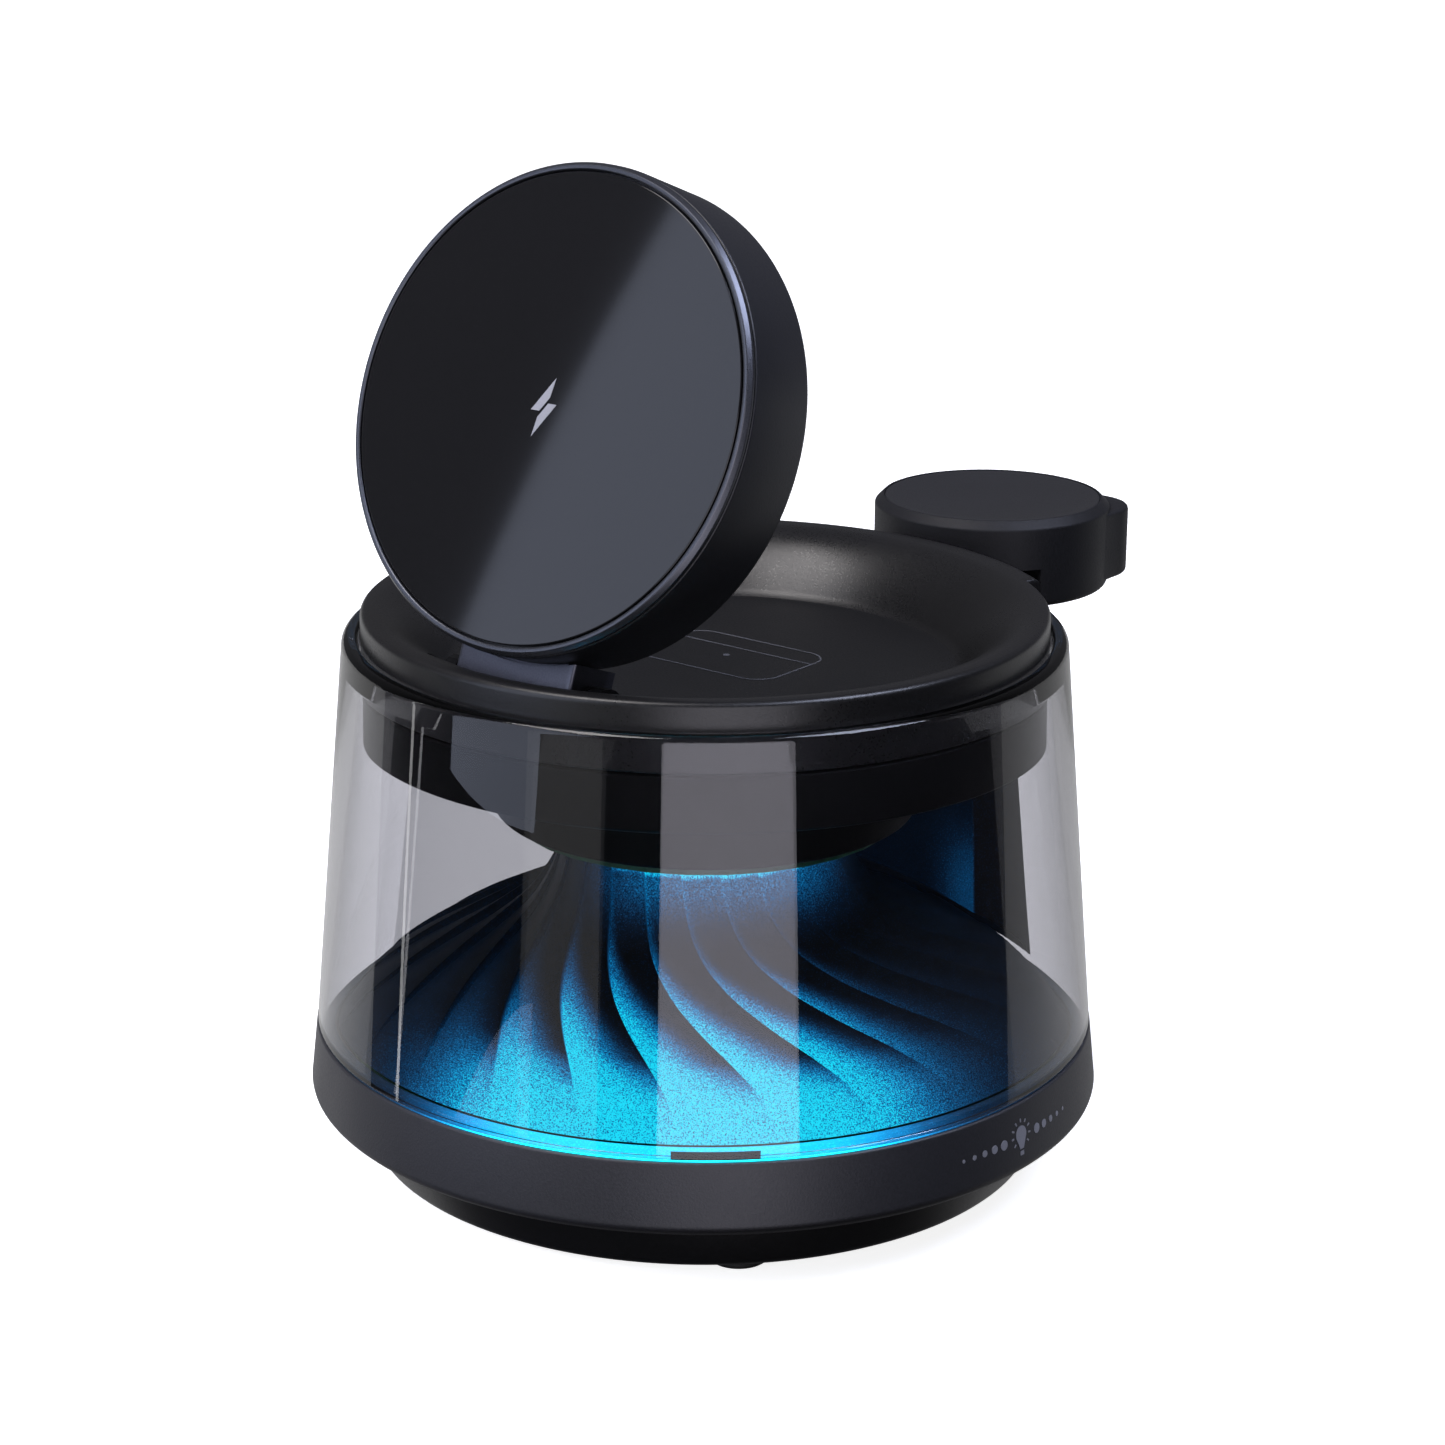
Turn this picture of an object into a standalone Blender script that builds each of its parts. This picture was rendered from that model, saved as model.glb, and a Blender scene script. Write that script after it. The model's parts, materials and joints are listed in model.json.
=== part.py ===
"""A round bedside charging stand: a lit base, a smoked conical cover over a swirl reflector, a dished lid
for an earbuds case, a fold-down phone disc at the front and a fold-down watch pod at the rear.

Lengths below are in millimetres, and MM turns them into Blender's metres. +Z is up, -Y is the front,
and the origin is the middle of the base on the surface that the stand rests on.
"""

import math

import bmesh
import bpy
from mathutils import Matrix, Vector

MM = 0.001
GAP = 0.3  # clearance between pieces that touch

# Base
BASE_RADIUS = 50.0
RING_TOP_RADIUS = 49.1
RING_TOP = 17.4
RING_BOTTOM = 8.4
PLINTH_RADIUS = 42.8
PLINTH_BOTTOM = 0.9
DECK_TOP = 16.4
FOOT_RADIUS = 3.8
FOOT_CIRCLE = 37.5
SCREW_CIRCLE = 36.0

# Cover
COVER_WALL = 2.0
COVER_BOTTOM = RING_TOP + GAP
COVER_SHOULDER = 63.5
COVER_SHOULDER_RADIUS = 45.0
COVER_TOP = 67.3
REAR_SECTOR = 35.5  # half angle, in degrees, of the rear stretch where the lid reaches over the cover
REAR_RIM = 66.1  # top of the cover along that stretch
STEP_ANGLE = 0.5  # degrees that the step at either end of the stretch takes up

# Upper housing, hood and lid
HOUSING_RADIUS = 42.5
HOUSING_BOTTOM = 55.1
HOUSING_TOP = 62.0
HOOD_RADIUS = 26.6
HOOD_BOTTOM = 45.1
LID_RADIUS = 42.5
LID_CREST = 70.6
LID_CREST_RADIUS = 41.2
LID_FLOOR = 63.0
LID_FLOOR_RADIUS = 31.4
LID_WALL = 1.8
LID_REAR_REACH = 1.7

# Phone disc, drawn lying flat in its own frame: origin on the hinge axis, +Y away from it, +Z out of the face
DISC_HINGE_Y = -33.0
DISC_HINGE_Z = 66.0
DISC_OPEN_ANGLE = 69.0
DISC_RADIUS = 28.9
DISC_CENTRE = 33.0
DISC_BACK = -2.45
DISC_FACE = 9.45
DISC_KNUCKLE_RADIUS = 3.9
DISC_KNUCKLE_HALF = 8.8
POCKET_HALF = 12.6
POCKET_FRONT = -37.4
POCKET_REAR = -27.2
POCKET_BOTTOM = 59.6

# Watch pod
POD_CENTRE = 62.8
POD_RADIUS = 16.0
POD_BOTTOM = 60.6
POD_TOP = 72.5
POD_TAIL_TOP = 71.0
POD_TAIL_BOTTOM = 61.6
POD_TAIL_HALF = 15.1
PAD_SINK = 1.6
POD_HINGE_Y = 50.8
POD_HINGE_Z = 62.3
POD_KNUCKLE_RADIUS = 3.2
POD_KNUCKLE_HALF = 8.2
ARM_HALF = 13.3

PIN_RADIUS = 1.2
BORE_RADIUS = 1.55

# Colours as linear red, green and blue, then roughness and metallic
FINISHES = {
    "matt_black_plastic": ((0.016, 0.016, 0.019), 0.5, 0.0),
    "satin_black_plastic": ((0.010, 0.010, 0.012), 0.38, 0.0),
    "smoked_acrylic": ((0.10, 0.10, 0.12), 0.05, 0.0),
    "reflector_black": ((0.01, 0.02, 0.03), 0.35, 0.0),
    "light_guide": ((0.02, 0.65, 0.90), 0.4, 0.0),
    "dark_glass": ((0.008, 0.008, 0.010), 0.06, 0.0),
    "satin_metal": ((0.14, 0.15, 0.19), 0.3, 0.9),
    "steel": ((0.45, 0.45, 0.47), 0.3, 1.0),
    "rubber": ((0.012, 0.012, 0.012), 0.85, 0.0),
    "circuit_board": ((0.01, 0.06, 0.03), 0.5, 0.0),
    "copper": ((0.72, 0.30, 0.14), 0.35, 1.0),
    "ferrite": ((0.06, 0.06, 0.065), 0.6, 0.1),
}


def clear_scene():
    for obj in list(bpy.data.objects):
        bpy.data.objects.remove(obj)


def material(name):
    found = bpy.data.materials.get(name)
    if found:
        return found
    colour, roughness, metallic = FINISHES[name]
    made = bpy.data.materials.new(name)
    made.use_nodes = True
    shader = made.node_tree.nodes["Principled BSDF"]
    shader.inputs["Base Color"].default_value = (*colour, 1.0)
    shader.inputs["Roughness"].default_value = roughness
    shader.inputs["Metallic"].default_value = metallic
    made.diffuse_color = (*colour, 1.0)
    return made


def finish(name, shape, finish_name, parent=None):
    """Turns a bmesh in millimetres into a named object in metres, with its faces pointing out."""
    bmesh.ops.recalc_face_normals(shape, faces=shape.faces)
    bmesh.ops.scale(shape, vec=Vector((MM, MM, MM)), verts=shape.verts)
    mesh = bpy.data.meshes.new(name)
    shape.to_mesh(mesh)
    shape.free()
    mesh.shade_smooth()
    mesh.set_sharp_from_angle(angle=math.radians(35))
    obj = bpy.data.objects.new(name, mesh)
    bpy.context.scene.collection.objects.link(obj)
    obj.data.materials.append(material(finish_name))
    obj.parent = parent
    return obj


def helper(name, shape, parent=None):
    """A cutter or an added lump that only a Boolean uses."""
    obj = finish(name, shape, "steel", parent)
    obj.hide_render = True
    obj.display_type = "WIRE"
    return obj


def combine(obj, other, operation):
    modifier = obj.modifiers.new(operation.lower() + "_" + other.name, "BOOLEAN")
    modifier.operation = operation
    modifier.solver = "EXACT"
    modifier.object = other


def cut(obj, *others):
    for other in others:
        combine(obj, other, "DIFFERENCE")


def join(obj, *others):
    for other in others:
        combine(obj, other, "UNION")


def even_angles(steps, extra=()):
    """Angles round a full turn in degrees, 0 at +X and 90 at +Y, with some extra ones among them."""
    pitch = 360.0 / steps
    angles = [pitch * i for i in range(steps)]
    angles = [a for a in angles if all(abs(a - b) > 0.3 * pitch for b in extra)]
    return sorted(angles + list(extra))


def turned(profile, steps=48, extra=(), shape_point=None):
    """A solid of revolution about Z. A profile that starts and ends on the axis is closed there by poles,
    and any other profile is a loop. shape_point may move a point: it gets radius, height and angle."""
    shape = bmesh.new()
    angles = even_angles(steps, extra)
    columns = []
    for radius, height in profile:
        if radius == 0:
            columns.append([shape.verts.new((0, 0, height))] * len(angles))
            continue
        row = []
        for angle in angles:
            r, z = shape_point(radius, height, angle) if shape_point else (radius, height)
            turn = math.radians(angle)
            row.append(shape.verts.new((r * math.cos(turn), r * math.sin(turn), z)))
        columns.append(row)
    on_axis = profile[0][0] == 0
    pairs = list(zip(columns, columns[1:]))
    if not on_axis:
        pairs.append((columns[-1], columns[0]))
    for lower, upper in pairs:
        for i in range(len(angles)):
            j = (i + 1) % len(angles)
            corners = []
            for vert in (lower[i], lower[j], upper[j], upper[i]):
                if vert not in corners:
                    corners.append(vert)
            if len(corners) > 2:
                shape.faces.new(corners)
    return shape


def prism(outline, low, high):
    """An outline in X and Y, raised from one height to another."""
    shape = bmesh.new()
    bottom = [shape.verts.new((x, y, low)) for x, y in outline]
    top = [shape.verts.new((x, y, high)) for x, y in outline]
    shape.faces.new(bottom[::-1])
    shape.faces.new(top)
    for i in range(len(outline)):
        j = (i + 1) % len(outline)
        shape.faces.new((bottom[i], bottom[j], top[j], top[i]))
    return shape


def block(x0, x1, y0, y1, z0, z1):
    return prism([(x0, y0), (x1, y0), (x1, y1), (x0, y1)], z0, z1)


def arc(cx, cy, radius, start, end, steps):
    points = []
    for i in range(steps + 1):
        turn = math.radians(start + (end - start) * i / steps)
        points.append((cx + radius * math.cos(turn), cy + radius * math.sin(turn)))
    return points


def rounded_box(half_x, y0, y1, z0, z1, corner, steps=3):
    """A box centred on X whose upright edges are round."""
    outline = arc(half_x - corner, y1 - corner, corner, 0, 90, steps)
    outline += arc(-half_x + corner, y1 - corner, corner, 90, 180, steps)
    outline += arc(-half_x + corner, y0 + corner, corner, 180, 270, steps)
    outline += arc(half_x - corner, y0 + corner, corner, 270, 360, steps)
    return prism(outline, z0, z1)


def rod(x0, x1, y, z, radius, steps=20):
    """A cylinder along X."""
    shape = prism(arc(0, 0, radius, 0, 360 - 360 / steps, steps - 1), x0, x1)
    along_x = Matrix.Translation((0, y, z)) @ Matrix.Rotation(math.radians(90), 4, "Y")
    bmesh.ops.transform(shape, matrix=along_x, verts=shape.verts)
    return shape


def moved(shape, x, y, z=0.0):
    bmesh.ops.translate(shape, vec=Vector((x, y, z)), verts=shape.verts)
    return shape


def ring(inner, outer, low, high, steps=32):
    return turned([(outer, low), (outer, high), (inner, high), (inner, low)], steps)


def disc(radius, low, high, steps=32):
    return turned([(0, low), (radius, low), (radius, high), (0, high)], steps)


def cover_radius(height):
    """Outer radius of the conical cover wall."""
    share = (height - COVER_BOTTOM) / (COVER_SHOULDER - COVER_BOTTOM)
    return RING_TOP_RADIUS - 0.1 + (COVER_SHOULDER_RADIUS - RING_TOP_RADIUS + 0.1) * share


# The reflector's outline, from its neck out and down to its rim
REFLECTOR_PROFILE = [
    (17.6, 43.6),
    (18.3, 40.0),
    (19.6, 36.6),
    (22.4, 33.1),
    (27.0, 30.2),
    (32.5, 27.6),
    (38.0, 25.0),
    (42.6, 22.0),
    (45.3, 18.4),
]
REFLECTOR_VANES = 18
REFLECTOR_SWEEP = 35.0  # degrees that a vane turns between neck and rim
REFLECTOR_START = -10.4  # angle of a vane's edge at the neck
REFLECTOR_RIDGE = 1.3


def reflector_height(radius):
    """Height of the reflector's plain outline at a radius."""
    for (r0, z0), (r1, z1) in zip(REFLECTOR_PROFILE, REFLECTOR_PROFILE[1:]):
        if radius <= r1:
            return z0 + (z1 - z0) * (radius - r0) / (r1 - r0)
    return REFLECTOR_PROFILE[-1][1]


def make_base():
    angles = [45, 135, 225, 315]
    cover = finish(
        "bottom_cover",
        turned(
            [
                (0, PLINTH_BOTTOM),
                (PLINTH_RADIUS - 1.4, PLINTH_BOTTOM),
                (PLINTH_RADIUS, PLINTH_BOTTOM + 1.2),
                (PLINTH_RADIUS + 1.6, RING_BOTTOM - GAP),
                (PLINTH_RADIUS - 0.6, RING_BOTTOM - GAP),
                (PLINTH_RADIUS - 2.0, 3.5),
                (0, 3.5),
            ]
        ),
        "satin_black_plastic",
    )
    for i, angle in enumerate(angles):
        turn = math.radians(angle)
        x, y = FOOT_CIRCLE * math.cos(turn), FOOT_CIRCLE * math.sin(turn)
        side = ("rear_right", "rear_left", "front_left", "front_right")[i]
        pad = [(0, 0), (FOOT_RADIUS - 0.4, 0), (FOOT_RADIUS, 0.4), (FOOT_RADIUS, 2.0), (0, 2.0)]
        finish("foot_" + side, moved(turned(pad, 20), x, y), "rubber")
        cut(cover, helper("foot_seat_" + side, moved(disc(FOOT_RADIUS + GAP, 0.5, 2.0 + GAP, 20), x, y)))

    body = finish(
        "base_ring",
        turned(
            [
                (RING_TOP_RADIUS, RING_TOP),
                (BASE_RADIUS, RING_BOTTOM + 1.0),
                (BASE_RADIUS - 0.7, RING_BOTTOM),
                (BASE_RADIUS - 4.8, RING_BOTTOM),
                (BASE_RADIUS - 4.8, DECK_TOP - 1.6),
                (12.0, DECK_TOP - 1.6),
                (12.0, DECK_TOP),
                (RING_TOP_RADIUS - 2.0, DECK_TOP),
                (RING_TOP_RADIUS - 2.0, RING_TOP),
            ]
        ),
        "matt_black_plastic",
    )
    for i in range(4):
        turn = math.radians(90 * i + 20)
        x, y = SCREW_CIRCLE * math.cos(turn), SCREW_CIRCLE * math.sin(turn)
        name = "bottom_screw_" + str(i + 1)
        join(body, helper(name + "_boss", moved(disc(2.6, 3.8, DECK_TOP - 0.8, 12), x, y)))
        cut(body, helper(name + "_pilot", moved(disc(1.3, 2.0, 13.0, 10), x, y)))
        cut(cover, helper(name + "_seat", moved(disc(2.4, 0.5, 2.4, 12), x, y)))
        cut(cover, helper(name + "_hole", moved(disc(1.3, 1.5, 5.0, 10), x, y)))
        screw = [(0, 1.5), (1.9, 1.5), (2.1, 2.1), (1.0, 2.1), (1.0, 12.0), (0, 12.6)]
        finish(name, moved(turned(screw, 10), x, y), "steel")

    finish("ballast_plate", ring(8.0, 31.0, 3.8, 7.8), "steel")
    outline = arc(0, 0, 31.0, 103, 437, 30) + [(7.0, 43.6), (-7.0, 43.6)]
    finish("main_board", prism(outline, 8.1, 9.7), "circuit_board")
    finish("controller_chip", block(-5, 5, -18, -8, 10.0, 11.2), "satin_black_plastic")
    finish("power_inductor", rounded_box(4.0, 10.0, 18.0, 10.0, 13.0, 1.5), "ferrite")

    socket_y0, socket_y1, socket_z = 41.5, 49.2, 11.7
    socket = finish("usb_c_socket", socket_shell(4.5, 1.65, socket_y0, socket_y1, socket_z), "steel")
    cut(socket, helper("usb_c_mouth", socket_shell(4.15, 1.3, socket_y0 + 1.0, 52.0, socket_z)))
    finish("usb_c_tongue", block(-3.3, 3.3, socket_y0 + 1.3, 48.0, socket_z - 0.35, socket_z + 0.35), "steel")
    cut(body, helper("usb_c_cutout", socket_shell(4.8, 1.95, 43.0, 52.0, socket_z)))

    strip = arc(0, 0, BASE_RADIUS - 5.1, -24, 24, 10) + arc(0, 0, BASE_RADIUS - 6.1, 24, -24, 10)
    finish("touch_sensor", prism(strip, 9.6, 14.2), "circuit_board")
    finish("led_ring_lower", ring(38.0, 44.6, DECK_TOP + GAP, DECK_TOP + 1.1, 36), "circuit_board")
    finish("light_guide_ring", ring(45.7, 46.8, DECK_TOP + GAP, DECK_TOP + 1.9, 48), "light_guide")


def socket_shell(half_width, half_height, y0, y1, z):
    """A slot-shaped tube along Y, solid."""
    outline = arc(half_width - half_height, 0, half_height, -90, 90, 6)
    outline += arc(-half_width + half_height, 0, half_height, 90, 270, 6)
    shape = prism(outline, -y1, -y0)
    upright = Matrix.Translation((0, 0, z)) @ Matrix.Rotation(math.radians(90), 4, "X")
    bmesh.ops.transform(shape, matrix=upright, verts=shape.verts)
    return shape


def make_reflector():
    vane = 360.0 / REFLECTOR_VANES
    phases = (0.0, 0.14, 0.58)
    neck, rim = REFLECTOR_PROFILE[0][0], REFLECTOR_PROFILE[-1][0]
    shape = bmesh.new()
    outside = []
    for radius, height in REFLECTOR_PROFILE:
        share = math.log(radius / neck) / math.log(rim / neck)
        depth = REFLECTOR_RIDGE * math.sin(math.pi * min(1.0, 0.12 + 0.88 * share)) ** 0.8
        row = []
        for i in range(REFLECTOR_VANES):
            for phase in phases:
                turn = math.radians(REFLECTOR_START + vane * (i + phase) + REFLECTOR_SWEEP * share)
                # A ridge stands at phase 0, drops at once, and rises slowly to the next ridge.
                drop = 0.0 if phase == 0.0 else depth * (1.0 - phase)
                r = radius - 0.5 * drop
                row.append(shape.verts.new((r * math.cos(turn), r * math.sin(turn), height - drop)))
        outside.append(row)
    inside = []
    steps = len(outside[0])
    for radius, height in [(43.3, 18.4), (40.0, 19.6), (30.0, 25.2), (20.0, 31.2), (15.4, 38.0), (14.6, 43.6)]:
        row = []
        for i in range(steps):
            turn = 2 * math.pi * i / steps
            row.append(shape.verts.new((radius * math.cos(turn), radius * math.sin(turn), height)))
        inside.append(row)
    rows = outside + inside
    for low, high in zip(rows, rows[1:] + rows[:1]):
        for i in range(steps):
            j = (i + 1) % steps
            shape.faces.new((low[i], low[j], high[j], high[i]))
    bmesh.ops.triangulate(shape, faces=shape.faces)
    finish("swirl_reflector", shape, "reflector_black")


def make_spine():
    """The rear column between base and upper housing: flat inside, following the cover outside, with a foot
    that stops just above the reflector."""
    shape = bmesh.new()
    half_angle, inner_y, top = 33.0, 31.0, HOUSING_BOTTOM - GAP
    columns, rows = 9, 6
    upper, lower = [], []
    for i in range(columns):
        turn = math.radians(90 + half_angle - 2 * half_angle * i / (columns - 1))
        inner = inner_y / math.sin(turn)
        upper_line, lower_line = [], []
        for k in range(rows):
            share = k / (rows - 1)
            r_top = inner + (cover_radius(top) - COVER_WALL - 0.5 - inner) * share
            r_low = inner + (REFLECTOR_PROFILE[-1][0] - inner) * share
            foot = max(reflector_height(r_low), reflector_height(r_low - 1.0)) + 0.6
            upper_line.append(shape.verts.new((r_top * math.cos(turn), r_top * math.sin(turn), top)))
            lower_line.append(shape.verts.new((r_low * math.cos(turn), r_low * math.sin(turn), foot)))
        upper.append(upper_line)
        lower.append(lower_line)
    for i in range(columns - 1):
        for k in range(rows - 1):
            shape.faces.new((upper[i][k], upper[i + 1][k], upper[i + 1][k + 1], upper[i][k + 1]))
            shape.faces.new((lower[i][k + 1], lower[i + 1][k + 1], lower[i + 1][k], lower[i][k]))
        shape.faces.new((lower[i][0], lower[i + 1][0], upper[i + 1][0], upper[i][0]))
        shape.faces.new((upper[i][-1], upper[i + 1][-1], lower[i + 1][-1], lower[i][-1]))
    for side in (0, -1):
        for k in range(rows - 1):
            shape.faces.new((lower[side][k], upper[side][k], upper[side][k + 1], lower[side][k + 1]))
    bmesh.ops.triangulate(shape, faces=shape.faces)
    finish("rear_spine", shape, "satin_black_plastic")


def rear_edges(half_angle):
    """The angles, two at either end, between which a turned piece steps into its rear stretch."""
    ends = (half_angle, half_angle + STEP_ANGLE)
    return [90 - end for end in ends] + [90 + end for end in ends]


def in_rear(angle, half_angle):
    return abs(angle - 90) <= half_angle + STEP_ANGLE / 2


def make_cover():
    top_inner = LID_RADIUS + 0.35
    low_stretch = REAR_SECTOR + 1.2

    def lower_rear_rim(radius, height, angle):
        if in_rear(angle, low_stretch):
            height = min(height, REAR_RIM)
        return radius, height

    cover = finish(
        "smoked_cover",
        turned(
            [
                (RING_TOP_RADIUS - 0.1, COVER_BOTTOM),
                (cover_radius(40.0), 40.0),
                (COVER_SHOULDER_RADIUS, COVER_SHOULDER),
                (COVER_SHOULDER_RADIUS - 0.3, 65.3),
                (COVER_SHOULDER_RADIUS - 0.9, 66.6),
                (top_inner + 0.5, COVER_TOP),
                (top_inner, COVER_TOP - 0.4),
                (top_inner, 64.5),
                (cover_radius(40.0) - COVER_WALL, 40.0),
                (RING_TOP_RADIUS - 0.1 - COVER_WALL, COVER_BOTTOM),
            ],
            extra=rear_edges(low_stretch),
            shape_point=lower_rear_rim,
        ),
        "smoked_acrylic",
    )
    cut(cover, helper("arm_way", block(-ARM_HALF - 0.4, ARM_HALF + 0.4, 36, 52, 57.6, 72)))


def make_upper_housing():
    housing = finish(
        "upper_housing",
        turned(
            [
                (HOUSING_RADIUS, HOUSING_BOTTOM),
                (HOUSING_RADIUS - 0.1, HOUSING_TOP),
                (HOUSING_RADIUS - 1.6, HOUSING_TOP),
                (HOUSING_RADIUS - 1.6, HOUSING_BOTTOM + 1.6),
                (18.0, HOUSING_BOTTOM + 1.6),
                (18.0, HOUSING_BOTTOM),
            ]
        ),
        "satin_black_plastic",
    )
    cut(housing, helper("housing_arm_way", block(-ARM_HALF - 0.4, ARM_HALF + 0.4, 36, 52, 57.0, 72)))
    finish(
        "lamp_hood",
        turned(
            [
                (HOOD_RADIUS, HOOD_BOTTOM + 0.6),
                (HOOD_RADIUS, HOUSING_BOTTOM - GAP),
                (HOOD_RADIUS - 2.0, HOUSING_BOTTOM - GAP),
                (HOOD_RADIUS - 2.0, HOOD_BOTTOM + 1.5),
                (10.0, HOOD_BOTTOM + 1.5),
                (10.0, HOOD_BOTTOM),
                (HOOD_RADIUS - 0.6, HOOD_BOTTOM),
            ],
            40,
        ),
        "satin_black_plastic",
    )
    finish("led_ring_upper", ring(18.6, 24.6, HOOD_BOTTOM - 1.2, HOOD_BOTTOM - GAP, 32), "circuit_board")
    finish("upper_board", disc(24.0, HOUSING_BOTTOM + 1.9, HOUSING_BOTTOM + 3.3, 28), "circuit_board")
    finish("earbud_ferrite", disc(22.0, 58.7, 59.3, 28), "ferrite")
    finish("earbud_coil", ring(8.0, 21.0, 59.6, 60.8, 28), "copper")


def lid_profile(ledge):
    """The lid from the middle of its floor, over the lip, down past the ledge, and back underneath."""
    outer = LID_RADIUS
    slope = []
    steps = 5
    for i in range(1, steps):
        # The inner slope leaves the crest level and comes down steeper towards the floor.
        share = i / steps
        radius = LID_FLOOR_RADIUS + 0.6 + (LID_CREST_RADIUS - LID_FLOOR_RADIUS - 0.6) * share
        height = LID_FLOOR + (LID_CREST - LID_FLOOR) * math.sin(share * math.pi / 2)
        slope.append((radius, height))
    top = [(0, LID_FLOOR), (LID_FLOOR_RADIUS, LID_FLOOR)] + slope
    top += [(LID_CREST_RADIUS, LID_CREST), (outer - 0.5, LID_CREST - 0.4), (outer, LID_CREST - 1.6)]
    under = [
        (outer, ledge),
        (outer, ledge - 0.1),
        (outer, HOUSING_TOP + GAP),
        (outer - 2.0, HOUSING_TOP + GAP),
        (outer - 2.0, LID_CREST - 3.2),
        (38.4, LID_CREST - 3.4),
        (33.4, LID_FLOOR - LID_WALL + 1.4),
        (31.0, LID_FLOOR - LID_WALL),
        (0, LID_FLOOR - LID_WALL),
    ]
    return top + under


def make_lid():
    ledge = REAR_RIM + GAP

    def reach_over_cover(radius, height, angle):
        if in_rear(angle, REAR_SECTOR) and radius > LID_CREST_RADIUS and height >= ledge:
            radius += LID_REAR_REACH
        return radius, height

    profile = lid_profile(ledge)
    shape = turned(profile, extra=rear_edges(REAR_SECTOR), shape_point=reach_over_cover)
    lid = finish("lid_dish", shape, "matt_black_plastic")
    half, front, rear, wall = POCKET_HALF, POCKET_FRONT, POCKET_REAR, 0.8
    well = block(-half - wall, half + wall, front - wall, rear + wall, POCKET_BOTTOM - wall, LID_FLOOR - 1.0)
    join(lid, helper("hinge_well", well))
    cut(lid, helper("hinge_pocket", block(-half, half, front, rear, POCKET_BOTTOM, 80)))
    cut(lid, helper("lid_arm_way", block(-ARM_HALF - 0.4, ARM_HALF + 0.4, 36, 52, 50, 65.9)))


def make_phone_hinge(hinge):
    """The bracket, pin and washers stand in the lid's pocket, and only the arm turns."""
    y, z = DISC_HINGE_Y, DISC_HINGE_Z
    inner, outer = DISC_KNUCKLE_HALF + 1.1, DISC_KNUCKLE_HALF + 2.9
    floor = POCKET_BOTTOM + GAP
    bracket = finish("phone_hinge_bracket", block(-outer, outer, y - 3.3, y + 3.3, floor, floor + 1.0), "steel")
    for side in (-1, 1):
        x0, x1 = sorted((side * inner, side * outer))
        name = "left" if side < 0 else "right"
        join(bracket, helper("ear_" + name, block(x0, x1, y - 3.3, y + 3.3, floor + 0.2, z)))
        join(bracket, helper("ear_top_" + name, rod(x0, x1, y, z, 3.3)))
        washer = rod(side * (DISC_KNUCKLE_HALF + GAP), side * (inner - GAP), y, z, 3.2)
        washer = finish("friction_washer_" + name, washer, "steel")
        cut(washer, helper("washer_bore_" + name, rod(-20, 20, y, z, BORE_RADIUS, 16)))
    cut(bracket, helper("bracket_bore", rod(-20, 20, y, z, BORE_RADIUS, 16)))
    finish("phone_hinge_pin", rod(-outer - 0.5, outer + 0.5, y, z, PIN_RADIUS, 16), "steel")

    half = DISC_KNUCKLE_HALF
    arm = finish("phone_arm", rod(-half, half, 0, 0, DISC_KNUCKLE_RADIUS, 24), "satin_metal", hinge)
    neck = rounded_box(half, 0.0, 12.0, -DISC_KNUCKLE_RADIUS, DISC_KNUCKLE_RADIUS, 0.9, 2)
    join(arm, helper("neck", neck, hinge))
    clearance = moved(disc(DISC_RADIUS + GAP, -6, 12, 64), 0, DISC_CENTRE)
    cut(arm, helper("disc_clearance", clearance, hinge))
    join(arm, helper("tongue", block(-7, 7, 1.0, 11.0, 1.7, 3.0), hinge))
    cut(arm, helper("knuckle_bore", rod(-20, 20, 0, 0, BORE_RADIUS, 16), hinge))


def make_phone_disc(hinge):
    low, high, radius = DISC_BACK, DISC_FACE, DISC_RADIUS

    def place(name, shape, finish_name):
        return finish(name, moved(shape, 0, DISC_CENTRE), finish_name, hinge)

    shell = place(
        "disc_rear_shell",
        turned(
            [
                (0, low),
                (radius - 0.9, low),
                (radius, low + 0.9),
                (radius, high - 1.3),
                (radius - 1.6, high - 1.3),
                (radius - 1.6, low + 1.75),
                (0, low + 1.75),
            ]
        ),
        "matt_black_plastic",
    )
    slot = block(-7.4, 7.4, 0.0, 8.0, 1.35, 3.35)
    cut(shell, helper("tongue_slot", slot, hinge))
    place(
        "disc_bezel",
        turned(
            [
                (radius - 0.1, high - 1.0),
                (radius - 0.1, high - 0.6),
                (radius - 0.7, high),
                (radius - 1.0, high),
                (radius - 1.1, high - 0.2),
                (radius - 1.1, high - 1.0),
            ]
        ),
        "satin_metal",
    )
    glass = [(0, high - 1.2), (27.5, high - 1.2), (27.5, high - 0.3), (27.3, high - 0.1), (0, high - 0.1)]
    place("disc_glass", turned(glass), "dark_glass")
    place("phone_board", moved(rounded_box(11, -9, 9, 1.6, 3.0, 1.5), 0, 4), "circuit_board")
    place("coil_tray", disc(27.0, 3.35, 4.9, 36), "satin_black_plastic")
    place("phone_ferrite", disc(22.3, 5.2, 5.8, 28), "ferrite")
    place("phone_coil", ring(10.0, 21.5, 6.1, 7.4, 28), "copper")
    place("magnet_ring", ring(22.9, 26.9, 5.2, 7.6, 36), "steel")


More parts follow.
